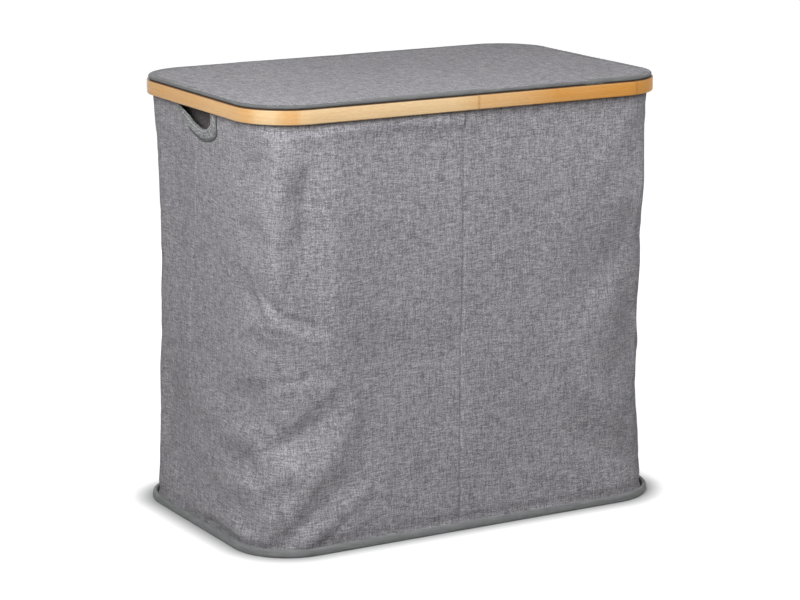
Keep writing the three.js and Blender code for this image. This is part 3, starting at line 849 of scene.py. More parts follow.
FOLDS_AT_ROD = [
    ([(-188, 206), (-199, 134), (-238, 97), (-278, 64), (-314, 33)], 11.7, 24, 28, 2.1),
    ([(-187, 173), (-194, 130), (-253, 79), (-273, 39), (-304, 6)], -7.9, 25, 27, 1.6),
    ([(-156, 91), (-169, 60), (-209, 42), (-263, 11), (-276, 4)], 7.7, 20, 21, 1.9),
    ([(-153, 103), (-158, 63), (-204, 38), (-236, 16), (-258, 6)], -5.4, 13, 15, 1.8),
    ([(-195, 204), (-238, 177), (-276, 159), (-309, 153)], -5.6, 23, 20, 1.7),
    ([(-192, 234), (-252, 208), (-294, 177), (-322, 160)], 1.2, 10, 19, 2.1),
    ([(-393, 358), (-365, 344), (-347, 340), (-313, 327)], -10.5, 35, 39, 1.5),
    ([(-351, 362), (-331, 351), (-328, 340), (-300, 327)], 6.5, 11, 9, 1.8),
    ([(-345, 371), (-316, 349), (-287, 328), (-262, 323), (-235, 311)], -4.6, 6, 18, 1.4),
    ([(-292, 318), (-261, 300), (-228, 296)], 2.2, 5, 8, 1.8),
    ([(-251, 531), (-261, 494), (-282, 481)], -5.9, 17, 15, 1.9),
    ([(-259, 485), (-259, 458), (-256, 417)], -7.3, 14, 11, 2.0),
    ([(-300, 588), (-295, 511), (-300, 428), (-306, 345), (-301, 253), (-298, 184)], 11.7, 18, 27, 1.7),
    ([(-349, 545), (-324, 523)], -7.6, 23, 56, 1.8),
    ([(-371, 448), (-343, 438), (-320, 432)], -6.3, 18, 33, 1.6),
    ([(-414, 204), (-355, 219), (-314, 223)], -5.4, 18, 60, 2.3),
    ([(-304, 241), (-262, 238), (-249, 251)], -3, 6, 23, 1.6),
    ([(-310, 226), (-274, 232), (-224, 229)], 2.8, 10, 15, 1.9),
    ([(-352, 295), (-308, 285), (-265, 258)], -3.1, 10, 40, 1.9),
    ([(-377, 306), (-318, 320), (-282, 309)], 4.7, 17, 8, 1.9),
    ([(-311, 276), (-306, 211), (-319, 175)], -4.5, 37, 13, 1.4),
    ([(-494, 162), (-466, 148)], -3.3, 12, 32, 2.1),
    ([(-441, 143), (-394, 155), (-335, 167)], 4.9, 12, 25, 2.2),
    ([(-408, 114), (-365, 124), (-346, 100)], -5.3, 18, 15, 1.8),
    ([(-384, 91), (-357, 94), (-334, 90)], 3, 8, 15, 1.9),
    ([(-379, 46), (-351, 33), (-335, 32)], -5.4, 30, 7, 1.6),
    ([(-406, 28), (-380, 47), (-354, 38)], 1.2, 4, 6, 1.7),
    ([(-501, 8), (-451, 26), (-383, 17), (-325, 17), (-289, 15)], 2.4, 39, 4, 1.5),
    ([(-150, 287), (-102, 266), (-40, 259), (-7, 284)], -2.9, 23, 54, 1.6),
    ([(-228, 562), (-211, 447), (-213, 322), (-215, 227)], 6.8, 60, 24, 2.2),
    ([(-315, 90), (-290, 121), (-262, 107)], 7.6, 19, 17, 1.9),
    ([(-474, 101), (-413, 76), (-364, 86)], 3.8, 35, 18, 2.0),
]

FOLDS_PULLED = [
    ([(301, 573), (262, 524), (233, 469), (193, 411), (176, 321)], -2.6, 56, 14, 2.0),
    ([(311, 382), (273, 381), (251, 356), (214, 315)], -10.5, 47, 41, 2.4),
    ([(295, 363), (242, 317), (212, 260)], 1.2, 14, 14, 1.9),
    ([(305, 266), (282, 259), (248, 175)], -10.5, 44, 59, 2.4),
    ([(252, 136), (273, 117), (276, 81)], -4.8, 11, 22, 2.4),
    ([(186, 112), (251, 65), (292, 44)], -8.3, 32, 27, 2.4),
    ([(298, 525), (291, 391)], 5.4, 19, 14, 1.6),
    ([(45, 578), (114, 562), (211, 566)], -1.6, 18, 26, 1.8),
    ([(-249, 579), (-132, 585), (-1, 576)], 6.8, 30, 13, 2.0),
    ([(390, 470), (355, 388), (344, 300)], -4.0, 16, 16, 1.8),
    ([(468, 243), (406, 154), (321, 59)], 3.5, 29, 60, 1.6),
    ([(556, 480), (560, 400), (548, 300)], -2.4, 18, 14, 1.9),
    ([(-553, 537), (-574, 455), (-598, 344)], -5.1, 40, 51, 2.4),
    ([(-614, 193), (-631, 117), (-637, 57)], -6.2, 26, 16, 2.1),
    ([(-652, 326), (-647, 213), (-661, 86)], 1.7, 17, 29, 1.9),
    ([(236, 311), (229, 242), (216, 184)], 5.5, 25, 60, 2.1),
    ([(180, 191), (229, 150), (239, 102)], 3.6, 16, 23, 2.0),
    ([(-515, 165), (-465, 158)], 5.8, 39, 20, 1.7),
    ([(-571, 172), (-564, 109), (-576, 43)], -4.6, 28, 37, 2.4),
    ([(-560, 536), (-539, 470), (-520, 402)], -0.3, 18, 15, 1.9),
]


def fold_relief(s, z, folds, turn=0.0, strength=1.0, lift=1.0):
    """Outward offset in millimetres of a set of folds, turned along the rim and made lower."""
    total = np.zeros(np.shape(s))
    around = 2 * RIM.half_round / MM
    s = (s - turn + around / 2) % around - around / 2
    for line, height, reach_left, reach_right, sharp in folds:
        points = np.array(line, float) * (1.0, lift)
        nearest = np.full(np.shape(s), 1e9)
        signed, share = np.zeros(np.shape(s)), np.zeros(np.shape(s))
        for k, (a, b) in enumerate(zip(points[:-1], points[1:])):
            d = b - a
            t = np.clip(((s - a[0]) * d[0] + (z - a[1]) * d[1]) / (d @ d), 0, 1)
            off_s, off_z = s - a[0] - t * d[0], z - a[1] - t * d[1]
            far = np.hypot(off_s, off_z)
            side = (d[0] * off_z - d[1] * off_s) / (np.hypot(*d) * np.maximum(far, 1e-6))
            closer = far < nearest
            nearest = np.where(closer, far, nearest)
            signed = np.where(closer, side, signed)
            share = np.where(closer, (k + t) / (len(points) - 1), share)
        reach = (reach_left + reach_right + (reach_left - reach_right) * signed) / 2
        body = np.exp(-((nearest / reach) ** sharp))
        total += height * body * (0.35 + 0.65 * np.sin(math.pi * share) ** 0.6)
    return strength * total


# How far the cloth stands in or out at the two edges seen in outline: for each its place along
# the rim, then heights and offsets, all in millimetres

OUTLINE_BULGES = (
    (330, (30, 90, 125, 160, 230, 300, 365, 430, 540), (-2, -4, -4.5, -4, 2.6, 3.4, 5, 2, 1.2)),
    (-664, (60, 100, 200, 300, 365, 410, 500, 560), (0, 0, 1, 0.6, 1.2, -1, -2, 0)),
)
BULGE_REACH = 60


def silhouette(s, z):
    """Offset of the outline bulges at lengths s and heights z, all in millimetres."""
    right, left = (
        np.interp(z, heights, offsets) * np.exp(-(((s - middle) / BULGE_REACH) ** 2))
        for middle, heights, offsets in OUTLINE_BULGES
    )
    return right + left


SEAMS = {
    "front": ((0, 324, 588), (-17, -11, -13)),
    "left": ((0, 49, 311, 356, 482, 588), (-554, -553, -541, -532, -511, -497)),
    "right": ((0, 588), (508, 500)),
    "rear": ((0, 588), (989, 989)),
}


def seam_length(name, z):
    """Length along the rim, in metres, of a seam at heights z in metres."""
    heights, lengths = SEAMS[name]
    return np.interp(z / MM, heights, lengths) * MM


def from_seam(name, s, z):
    """Distance in millimetres from a seam, the short way round."""
    off = np.abs(s - seam_length(name, z))
    return np.minimum(off, np.abs(off - 2 * RIM.half_round)) / MM


# Which folds lie where: part of a round by which they are turned, their strength and lift

FOLD_SETS = (
    (FOLDS_AT_ROD, 0.0, 1.22, 1.0),
    (FOLDS_PULLED, 0.0, 1.15, 1.0),
    (FOLDS_AT_ROD[:24], 0.5, 0.8, 1.08),
    (FOLDS_PULLED[:6], 0.5, 0.85, 0.92),
)

# Where the rods stand, in millimetres along the rim, and how far the finer creases reach round them

SIDE_MIDDLE, ROD_FROM_MIDDLE, ROD_REACH = 496.5, 188, 80

# Unevenness of the cloth: cells along and up in metres, and the seed of each kind

WIDE_SWELL, NARROW_SWELL = (0.13, 0.26, 11), (0.06, 0.10, 12)
CREASES, CRINKLES = (0.028, 0.022, 13), (0.012, 0.010, 14)
PUCKERS = (0.5, 0.011, 21)

# Widths in millimetres of what a seam does to the cloth: puckers, a shallow dip and a groove

PUCKER_WIDTH, DIP_WIDTH, GROOVE_WIDTH, SLIT_WIDTH = 12, 5.0, 1.6, 1.5


def drape(s, z):
    """Outward offset in metres of the wall cloth from its plain outline."""
    s_mm, z_mm = s / MM, z / MM
    half = RIM.half_round / MM
    total = 0.0
    for folds, turn, strength, lift in FOLD_SETS:
        total = total + fold_relief(s_mm, z_mm, folds, 2 * half * turn, strength, lift)
    total += silhouette(s_mm, z_mm)
    total += 1.3 * soft_noise(s, z, *WIDE_SWELL) + 0.8 * soft_noise(s, z, *NARROW_SWELL)
    from_rod = np.abs(np.abs(s_mm) - SIDE_MIDDLE) - ROD_FROM_MIDDLE
    corner = np.exp(-((from_rod / ROD_REACH) ** 2))
    total += (0.15 + 0.45 * corner) * soft_noise(s, z, *CREASES)
    total += (0.06 + 0.16 * corner) * soft_noise(s, z, *CRINKLES)
    total *= smooth(0, 30, from_seam("rear", s, z))
    for name in SEAMS:
        off = from_seam(name, s, z)
        total += 0.55 * np.exp(-((off / PUCKER_WIDTH) ** 2)) * soft_noise(s * 0, z, *PUCKERS)
        groove, dip = np.exp(-((off / GROOVE_WIDTH) ** 1.5)), np.exp(-((off / DIP_WIDTH) ** 2))
        total -= 1.5 * groove + 0.3 * dip
    # The divider and the bags' tabs stand just behind the cloth
    from_middle = np.minimum(np.abs(s_mm), half - np.abs(s_mm))
    room = 1.2 + 12 * smooth(552, 515, z_mm) * smooth(6, 30, from_middle)
    total = np.maximum(total, -room)
    for name in ("front", "rear"):
        slit = smooth(563, 568, z_mm) * smooth(590, 585, z_mm)
        total -= 2.2 * slit * np.exp(-((from_seam(name, s, z) / SLIT_WIDTH) ** 2))
    held = smooth(591, 566, z_mm) * smooth(3, 16, z_mm)
    tuck = 2.2 * np.exp(-(((z_mm - 13) / 8) ** 2))
    return (total * held - tuck) * MM


RODS = [sum(box_of(f"rod_{corner}")) / 2 for corner in CORNERS]
ROD_TOP = box_of("rod_front_left")[1][2]
ROD_CLEARANCE = 6.6 * MM


def wall_face(s, z, out=0.0):
    """Points of the wall cloth's outer face at lengths s and heights z."""
    s, z = np.broadcast_arrays(np.asarray(s, float), np.asarray(z, float))
    core_x, core_y, out_x, out_y = RIM.frame(s)
    half_x, half_y, radius = wall_outline(z)
    off = radius + drape(s, z) + out
    x = core_x / RIM.core_x * (half_x - radius) + off * out_x
    y = core_y / RIM.core_y * (half_y - radius) + off * out_y
    # The cloth lies over the rods in the corners and never cuts into them
    clear = ROD_CLEARANCE + out
    for rod in RODS:
        away = np.hypot(x - rod[0], y - rod[1])
        push = np.where((away < clear) & (z < ROD_TOP), clear - away, 0)
        x = x + push * (x - rod[0]) / np.maximum(away, 1e-6)
        y = y + push * (y - rod[1]) / np.maximum(away, 1e-6)
    return rows_of(x, y, z)


def side_length(y, side):
    """Length along the rim of a place y on a short side."""
    return side * (RIM.side_start + y + RIM.core_y)


# Hand holes: the inner and outer edge of the binding, as (y, z) in millimetres

HOLE_INNER = np.array([
    (60, 585.5), (52, 581), (41.8, 577.0), (30, 573.2), (22.3, 570.4), (11.2, 565.0), (2, 562.2),
    (-10.7, 560.4), (-19.9, 560.0), (-30, 561.8), (-39.1, 566.0), (-44.4, 572.5), (-44.6, 579),
    (-42.8, 586.5),
])  # fmt: skip
HOLE_OUTER = np.array([
    (71, 583.5), (63, 577.0), (54.7, 572.0), (46, 567.6), (37, 562.8), (25, 557.6), (13.2, 553.0),
    (2.5, 549.8), (-8.6, 547.6), (-20, 547.2), (-34, 548.6), (-49.6, 553.5), (-59.5, 562.6),
    (-57.5, 584.5),
])  # fmt: skip


def even_curve(points, count):
    """Points evenly spaced along a smooth curve through the given ones."""
    points = np.asarray(points, float)
    padded = np.concatenate([2 * points[:1] - points[1:2], points, 2 * points[-1:] - points[-2:-1]])
    fine = []
    for k in range(1, len(padded) - 2):
        a, b, c, d = padded[k - 1 : k + 3]
        t = np.linspace(0, 1, 24, endpoint=False)[:, None]
        bend = (2 * a - 5 * b + 4 * c - d) * t**2 + (3 * b - a - 3 * c + d) * t**3
        fine.append(0.5 * (2 * b + (c - a) * t + bend))
    return spaced(np.concatenate([*fine, points[-1:]]), count)


def hole_edges(side):
    """Inner and outer edge of one hand hole. The right one is the calmer of the two."""
    edges = [even_curve(edge, 121) for edge in (HOLE_INNER, HOLE_OUTER)]
    if side > 0:
        edges = [0.5 * (edge + (edge[::-1] * (-1, 1) + (8, 0))) for edge in edges]
    return edges


def inside(polygon, y, z):
    """True for each point (y, z) that lies inside the polygon."""
    hit = np.zeros(np.shape(y), bool)
    for (ya, za), (yb, zb) in zip(polygon, np.roll(polygon, -1, 0)):
        crosses = (za > z) != (zb > z)
        with np.errstate(divide="ignore", invalid="ignore"):
            reach = (yb - ya) * (z - za) / (zb - za) + ya
        hit ^= crosses & (y < reach)
    return hit


def cut_hand_hole(piece, side):
    """Takes the faces of a wall panel away where the hand hole is, up to the hoop."""
    inner, outer = hole_edges(side)
    middle = inner * 0.55 + outer * 0.45
    top = (HOOP_BOTTOM + 1 * MM) / MM
    polygon = np.concatenate([[(middle[0, 0], top)], middle, [(middle[-1, 0], top)]])
    near_side = 0.28
    centres = np.empty(len(piece.data.polygons) * 3, np.float32)
    piece.data.polygons.foreach_get("center", centres)
    x, y, z = centres.reshape(-1, 3).T.astype(float)
    in_hole = (x * side > near_side) & inside(polygon, y / MM, z / MM)
    editing(piece)
    pick(piece, "FACE", lambda face: in_hole[face.index])
    bpy.ops.mesh.delete(type="FACE")
    leave_editing()


# Pieces


def build_hoop():
    """The bent bamboo strip."""
    k = sizes()
    only()
    middle = (0, 0, (HOOP_BOTTOM + HOOP_TOP) / 2)
    extent = (2 * RIM.half_x, 2 * RIM.half_y, HOOP_TOP - HOOP_BOTTOM)
    bpy.ops.mesh.primitive_cube_add(size=1, location=middle, scale=extent)
    hoop = bpy.context.object
    hoop.name = hoop.data.name = "hoop_bamboo"
    bpy.ops.object.transform_apply(location=True, rotation=True, scale=True)
    editing(hoop)
    half_tall = (HOOP_TOP - HOOP_BOTTOM) / 2
    pick(hoop, "EDGE", lambda e: abs(e.verts[0].co.z - e.verts[1].co.z) > half_tall)
    bpy.ops.mesh.bevel(offset=k.rim_radius, segments=28, affect="EDGES")
    pick(hoop, "FACE", lambda f: abs(f.normal.z) > 0.9)
    bpy.ops.mesh.delete(type="FACE")
    leave_editing()
    apply_modifier(
        hoop, "SOLIDIFY", thickness=k.hoop_wall, offset=-1.0, use_rim=True, use_even_offset=True
    )
    apply_modifier(
        hoop,
        "BEVEL",
        width=k.hoop_round,
        segments=3,
        limit_method="ANGLE",
        angle_limit=math.radians(40),
    )
    map_round(hoop)
    finish(hoop, "bamboo", "hamper", "bamboo", "bamboo_hoop", angle=35)


def map_round(piece):
    """Maps a ring by length along the rim and by height, the inner side further up."""
    mesh = piece.data
    layer = fresh_map(mesh)
    points = points_of(piece)
    s, inset = RIM.length_at(points[:, 0], points[:, 1])
    for face in mesh.polygons:
        corners = list(face.vertices)
        lengths = s[corners]
        if lengths.max() - lengths.min() > RIM.half_round:
            lengths = np.where(lengths < 0, lengths + 2 * RIM.half_round, lengths)
        for loop, vertex, where in zip(face.loop_indices, corners, lengths):
            layer.data[loop].uv = (where, points[vertex, 2] + inset[vertex])


def build_walls():
    """The four cloth panels, from seam to seam round each corner."""
    k = sizes()
    panels = [
        ("front_left", "left", "front", -1),
        ("front_right", "front", "right", 1),
        ("rear_right", "right", "rear", 1),
        ("rear_left", "rear", "left", -1),
    ]
    rows = round((WALL_TOP - WALL_LOW) / k.wall_cell)
    z_rows = np.linspace(WALL_LOW, WALL_TOP, rows + 1)
    seam = 0.05 * MM
    for order, (corner, start, end, side) in enumerate(panels):
        begin, stop = seam_length(start, z_rows), seam_length(end, z_rows)
        if corner == "rear_left":
            begin = begin - 2 * RIM.half_round
        steps = columns_between(float(np.mean(stop - begin)), k.wall_cell)
        share = steps / steps[-1]

        def place(i, j):
            z = z_rows[j]
            s = begin[j] + (stop[j] - begin[j]) * share[i]
            s = np.where(i == 0, s + seam, np.where(i == len(share) - 1, s - seam, s))
            return wall_face(s, z), rows_of(s + 0.37 * order, z + 0.11 * order)

        piece = cloth_grid(f"wall_cloth_{corner}", len(share) - 1, rows, place)
        cut_hand_hole(piece, side)
        thicken(piece, k.wall_cloth)
        finish(piece, "cloth", "hamper", "cloth", f"wall_{corner}", angle=75)

    # Dark threads set into the front and rear seams where they gape under the hoop: painted shade of
    # the gap
    z = np.linspace(565, 587.5, 12) * MM
    for name, facing in (("front", -1.0), ("rear", 1.0)):
        points = wall_face(seam_length(name, z), z, -0.5 * MM)
        sew(f"seam_gap_painted_shade_{name}", points, (0.0, facing, 0.0), "dark_thread", "hamper", "cloth",
            2.6 * MM, 3.6 * MM, 1.5 * MM)  # fmt: skip


def build_hand_hole(side, name):
    """The binding sewn round one hand hole: outer face, rolled edge and inner face."""
    inner, outer = hole_edges(side)
    count = len(inner) - 1
    rng = np.random.default_rng(5 + side)
    ripple = np.convolve(rng.uniform(-1, 1, count + 9), np.ones(3) / 3, "same")[: count + 1]
    loose = smooth(0.75, 0.3, np.linspace(0, 1, count + 1)) if side < 0 else 0.25
    inner = inner + rows_of(0.9 * ripple * loose, 2.2 * ripple * loose)
    face, roll, back = 9, 6, 6
    half = 1.5

    def place(i, j):
        a, b = outer[i], inner[i]
        flat = np.clip(j / face, 0, 1)
        turned = np.clip((j - face) / roll, 0, 1)
        returned = np.clip((j - face - roll) / back, 0, 1)
        yz = a + (b - a) * (flat - 0.85 * returned)[:, None]
        puff = 0.9 * np.sin(math.pi * flat) ** 0.7 * (j <= face)
        puff = puff + 0.35 * soft_noise(yz[:, 0] * MM, yz[:, 1] * MM, 0.009, 0.006, 31) * (j < face)
        rolled = np.where(j <= face + roll, half * np.cos(math.pi * turned), -half)
        out = np.where(j <= face, half + puff - 0.9 * (j == 0), rolled)
        bulge = np.where((j > face) & (j < face + roll), 1.3 * np.sin(math.pi * turned), 0)
        inwards = (b - a) / np.linalg.norm(b - a, axis=1, keepdims=True)
        y, z = (yz + inwards * bulge[:, None]).T * MM
        z = np.minimum(z, HOOP_BOTTOM - 0.2 * MM)
        points = wall_face(side_length(y, side), z)
        points[:, 0] += side * (out * MM - 0.6 * MM)
        return points, rows_of(i * 1.25 * MM, j * 1.1 * MM)

    piece = cloth_grid(f"hand_hole_tape_{name}", count, face + roll + back, place)
    make_up(piece, lambda n, c: n.x * side > 0, sizes().tape_cloth, "hole_tape", "hamper", "binding",
            f"handle_binding_{name}", angle=70)  # fmt: skip

    def sew_row(kind, row, lift, look, *measures):
        """Sews along places (y, z) in millimetres, lifted off the wall's face."""
        y, z = row[:, 0] * MM, np.minimum(row[:, 1] * MM, HOOP_BOTTOM - 1.2 * MM)
        points = wall_face(side_length(y, side), z)
        points[:, 0] += side * lift * MM
        measures = [measure * MM for measure in measures]
        sew(f"hand_hole_{kind}_{name}", points, (side, 0, 0), look, "hamper", "binding", *measures)

    sew_row("stitches", outer * 0.7 + inner * 0.3, 1.75, "thread", 3.2, 2.4)
    # A dark thread along the tape's outer edge, on the left hole from its front part on: painted shadow
    # of the gap between the tape and the wall
    row = even_curve(1.09 * outer - 0.09 * inner, 121)[38:] if side < 0 else outer
    sew_row("seam", row, 0.7, "dark_thread", 2.0, 2.9, 3.2)
    # Loose pale threads along the inner edge and a short bar tack at the front end
    drift = np.convolve(rng.uniform(-1, 1, len(inner) + 4), np.ones(2) / 2, "same")[: len(inner)]
    row = 0.88 * inner + 0.12 * outer + drift[:, None] * (0.8, 1.9)
    sew_row("threads", row[20:], 2.3, "pale_thread", 2.3, 2.4, 1.0)
    start = -50.5 if side < 0 else 59.5
    tack = np.array([(start, 584.5), (start + 4 * side, 577.0)])
    sew_row("tack", tack, 2.3, "pale_thread", 1.2, 1.8, 1.7)


def band_round(name, plan, cell, rows, lay):
    """A band once round a plan. lay(s, j) gives each point's way out, height and place across."""
    total = 2 * plan.half_round
    around = round(total / cell)

    def place(i, j):
        s = i / around * total - plan.half_round
        out, height, across = lay(s, j)
        return plan.at(s, height, out), rows_of(s, across)

    return cloth_grid(name, around, rows, place)


def build_foot():
    """The bound seam allowance round the base, its stitches, and the cloth under the base."""
    foot = Plan(FOOT_HIGH[0], FOOT_HIGH[1], sizes().foot_radius)
    top = FOOT_HIGH[2]
    section = np.array([
        (-6.9, 0.4), (-5.0, 0.05), (-2.6, 0.0), (-1.2, 0.35), (-0.35, 1.4), (0.0, 3.0), (-0.1, 5.2),
        (-0.5, 7.4), (-1.3, 9.2), (-2.5, 10.4), (-3.9, 10.9), (-5.3, 10.7), (-6.4, 9.9), (-6.9, 8.4),
        (-7.0, 5.0),
    ]) * MM * (1.0, top / (11 * MM))  # fmt: skip

    walk = walked(np.concatenate([section, section[:1]]))

    def lay(s, j):
        out, height = section[j % len(section)].T
        lifted = height > 2 * MM
        sway = 0.45 * MM * soft_noise(s, s * 0, 0.07, 1.0, 41)
        swell = 0.5 * MM * soft_noise(s, s * 0, 0.035, 1.0, 42)
        out = out + np.where(lifted, np.minimum(sway, 0.0), 0.0)
        return out, height + np.where(lifted, swell * height / top, 0.0), walk[j]

    band = band_round("foot_tape", foot, 5 * MM, len(section), lay)
    weld(band, True)
    finish(band, "tape", "hamper", "binding", "bottom_piping", angle=70)
    s = np.linspace(-foot.half_round, foot.half_round, 900)
    row = foot.at(s, 9.9 * MM, -5.9 * MM)
    out_x, out_y = foot.frame(s)[2:]
    outward = rows_of(out_x * 0.3, out_y * 0.3, 1.0)
    sew("foot_stitches", row, outward, "thread", "hamper", "binding")
    cloth = 0.9 * MM
    under = flat_cloth("base_cloth", inset_plan(foot, 6.2 * MM), cloth, 8 * MM)
    set_points(under, points_of(under) * (1, 1, 0) + (0, 0, 0.05 * MM))
    make_up(under, lambda n, c: n.z < 0, cloth, "cloth", "hamper", "cloth", "base_cover")


def inset_plan(plan, distance):
    return Plan(plan.half_x - distance, plan.half_y - distance, max(plan.radius - distance, 1 * MM))


def flat_cloth(name, plan, z, cell, relief=None):
    """A sheet cut to a plan: each row of the grid is as long as the plan is wide there."""
    turns = max(5, round(plan.radius * math.pi / 2 / cell))
    bend = np.radians(np.linspace(90, 0, turns + 1))
    middle = np.linspace(-plan.core_y, plan.core_y, round(2 * plan.core_y / cell) + 1)
    low_y = -plan.core_y - plan.radius * np.sin(bend)
    low_width = plan.core_x + plan.radius * np.cos(bend)
    rows_y = np.concatenate([low_y, middle[1:-1], -low_y[::-1]])
    width = np.concatenate([low_width, np.full(len(middle) - 2, plan.half_x), low_width[::-1]])
    across = round(2 * plan.half_x / cell)

    def place(i, j):
        x = (i / across * 2 - 1) * width[j]
        y = rows_y[j]
        height = z + (relief(x, y) if relief else 0.0)
        return rows_of(x, y, height), rows_of(x, y)

    return cloth_grid(name, across, len(rows_y) - 1, place)


def build_lid():
    """Lid cloths with a slightly uneven lie, the binding tape round them and its stitches."""
    width = sizes().tape_width
    plan = inset_plan(RIM, 2 * MM)
    top, low = LID_HIGH[2], LID_LOW[2]
    face_at = top - 0.2 * MM
    clear_of_board = box_of("lid_board")[1][2] + 0.65 * MM - face_at

    def lie(x, y):
        wide = soft_noise(x, y + 0.4, 0.12, 0.11, 51)
        fine = soft_noise(x, y + 0.4, 0.035, 0.03, 52)
        return np.maximum((0.75 * wide + 0.2 * fine) * MM, clear_of_board)

    face = flat_cloth("lid_cloth_top", inset_plan(plan, 1.6 * MM), face_at, 5 * MM, lie)
    thicken(face, 0.5 * MM)
    finish(face, "cloth", "lid", "cloth", "lid_top_cloth", angle=70)
    under = flat_cloth("lid_cloth_under", inset_plan(plan, 1.6 * MM), low + 0.75 * MM, 8 * MM)
    make_up(under, lambda n, c: n.z < 0, 0.45 * MM, "cloth", "lid", "cloth",
            "lid_underside_cloth", angle=70)  # fmt: skip

    # The tape's section: from its inner edge on the face, round the edge and back below
    fold = 2.4 * MM
    middle, thick = (top + low) / 2, (top - low) / 2
    profile = []
    for share in (0.0, 0.06, 0.2, 0.4, 0.6, 0.8):
        dome = 0.25 * math.sin(math.pi * share) - (0.5 if share == 0 else 0.12 if share < 0.1 else 0)
        profile.append((-width + (width - fold) * share, top - 0.3 * MM + dome * MM))
    for angle in np.radians(np.linspace(90, -90, 9)):
        out = -fold + fold * math.cos(angle)
        profile.append((out, middle + (thick - 0.15 * MM) * math.sin(angle)))
    for share in (0.75, 0.5, 0.25, 0.0):
        profile.append((-width + (width - fold) * share, low + 0.2 * MM))
    profile = np.array(profile)
    walk = walked(profile)

    def lay(s, j):
        out, height = profile[j].T
        edge = soft_noise(s, 0 * s, 0.05, 1.0, 61)
        flutter = soft_noise(s, 0 * s, 0.018, 1.0, 62)
        on_inner_edge, on_face = j < 3, j < 8
        out = out + np.where(on_inner_edge, 0.5 * edge * MM, 0.25 * MM * np.minimum(edge, 0))
        height = height + np.where(on_face, (0.18 * edge + 0.10 * flutter) * MM, 0.0)
        # The tape's ends lap here, a thread's width proud
        lap = smooth(-0.034, -0.030, s) * smooth(-0.0085, -0.0095, s)
        out = out + np.where((j > 5) & (j < 15), 0.5 * lap * MM, 0.0)
        height = height + np.where(on_face, 0.15 * lap * MM, 0.0)
        return out, height - 0.6 * MM * smooth(8, 12, j), walk[j]

    tape = band_round("lid_tape", plan, 5 * MM, len(profile) - 1, lay)
    make_up(tape, away_from(0, 0), 0.45 * MM, "lid_tape", "lid", "binding", "lid_binding", angle=60)
    s = np.linspace(-plan.half_round, plan.half_round, 1200)
    row = plan.at(s, top + 0.02 * MM, -width + 1.9 * MM)
    sew("lid_stitches", row, (0, 0, 1), "thread", "lid", "binding")
    y = np.linspace(-plan.half_y + 1.5 * MM, -plan.half_y + width - 1.0 * MM, 12)
    for n, x in enumerate((-33, -30.5, -12, -9.6)):
        row = rows_of(x * MM, y, top + 0.05 * MM)
        sew(f"lid_lap_stitches_{n + 1}", row, (0, 0, 1), "thread", "lid", "binding",
            2.2 * MM, 1.7 * MM)  # fmt: skip
    dress("board", "lid_board")


def build_hinge():
    """The strip the lid turns on: inside the hoop, over its top, and into the lid's edge."""
    low, high = box_of("lid_hinge_cloth")
    half = high[0]
    axis_y, axis_z = frame["joints"][0]["pos_m"][1:]
    inner = low[1]
    line = np.array([
        (inner, low[2]), (inner, low[2] + 8 * MM), (inner + 0.1 * MM, high[2] - 1.2 * MM),
        (inner + 1.0 * MM, high[2] - 0.3 * MM), (inner + 3 * MM, high[2] - 0.05 * MM),
        (axis_y - 6 * MM, high[2] - 0.05 * MM), (axis_y - 2.5 * MM, high[2]),
        (axis_y - 0.6 * MM, axis_z + 0.45 * MM), (axis_y + 0.1 * MM, axis_z + 1.4 * MM),
        (axis_y - 0.9 * MM, axis_z + 2.6 * MM), (axis_y - 3.2 * MM, axis_z + 3.3 * MM),
        (axis_y - 4.6 * MM, axis_z + 3.3 * MM),
    ])  # fmt: skip
    line = even_curve(line, 41)
    columns = round(2 * half / (6 * MM))

    def place(i, j):
        x = (i / columns * 2 - 1) * half
        y, z = line[j].T
        return rows_of(x, y, z), rows_of(x, j * 0.7 * MM)

    piece = cloth_grid("lid_hinge_strip", columns, len(line) - 1, place)
    make_up(piece, lambda n, c: n.z > 0, 0.4 * MM, "cloth", None, "cloth", "lid_hinge_cloth")
    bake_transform(piece)


def build_hem():
    """The tape over the cloth's top edge inside the hoop, with two rows of stitches."""
    low, high = box_of("top_hem_tape")
    plan = inset_plan(RIM, RIM.half_x - high[0])
    rows = 6

    def lay(s, j):
        z = low[2] + (high[2] - low[2]) * j / rows
        out = 0.25 * soft_noise(s, z, 0.03, 0.02, 71) - 0.9 + 0.15 * np.cos(j / rows * 2 * math.pi)
        return out * MM, z, z

    tape = band_round("hem_tape", plan, 7 * MM, rows, lay)
    make_up(tape, lambda n, c: n.x * c.x + n.y * c.y < 0, 0.6 * MM, "tape", "hamper", "binding",
            "top_hem_tape", angle=70)  # fmt: skip
    s = np.linspace(-plan.half_round, plan.half_round, 900)
    out_x, out_y = plan.frame(s)[2:]
    inward = rows_of(-out_x, -out_y, 0.0)
    row = plan.at(s, low[2] + 3 * MM, -1.35 * MM)
    sew("hem_stitches", row, inward, "thread", "hamper", "binding")
    dress("steel", *(f"staple_{n}" for n in range(1, 9)))


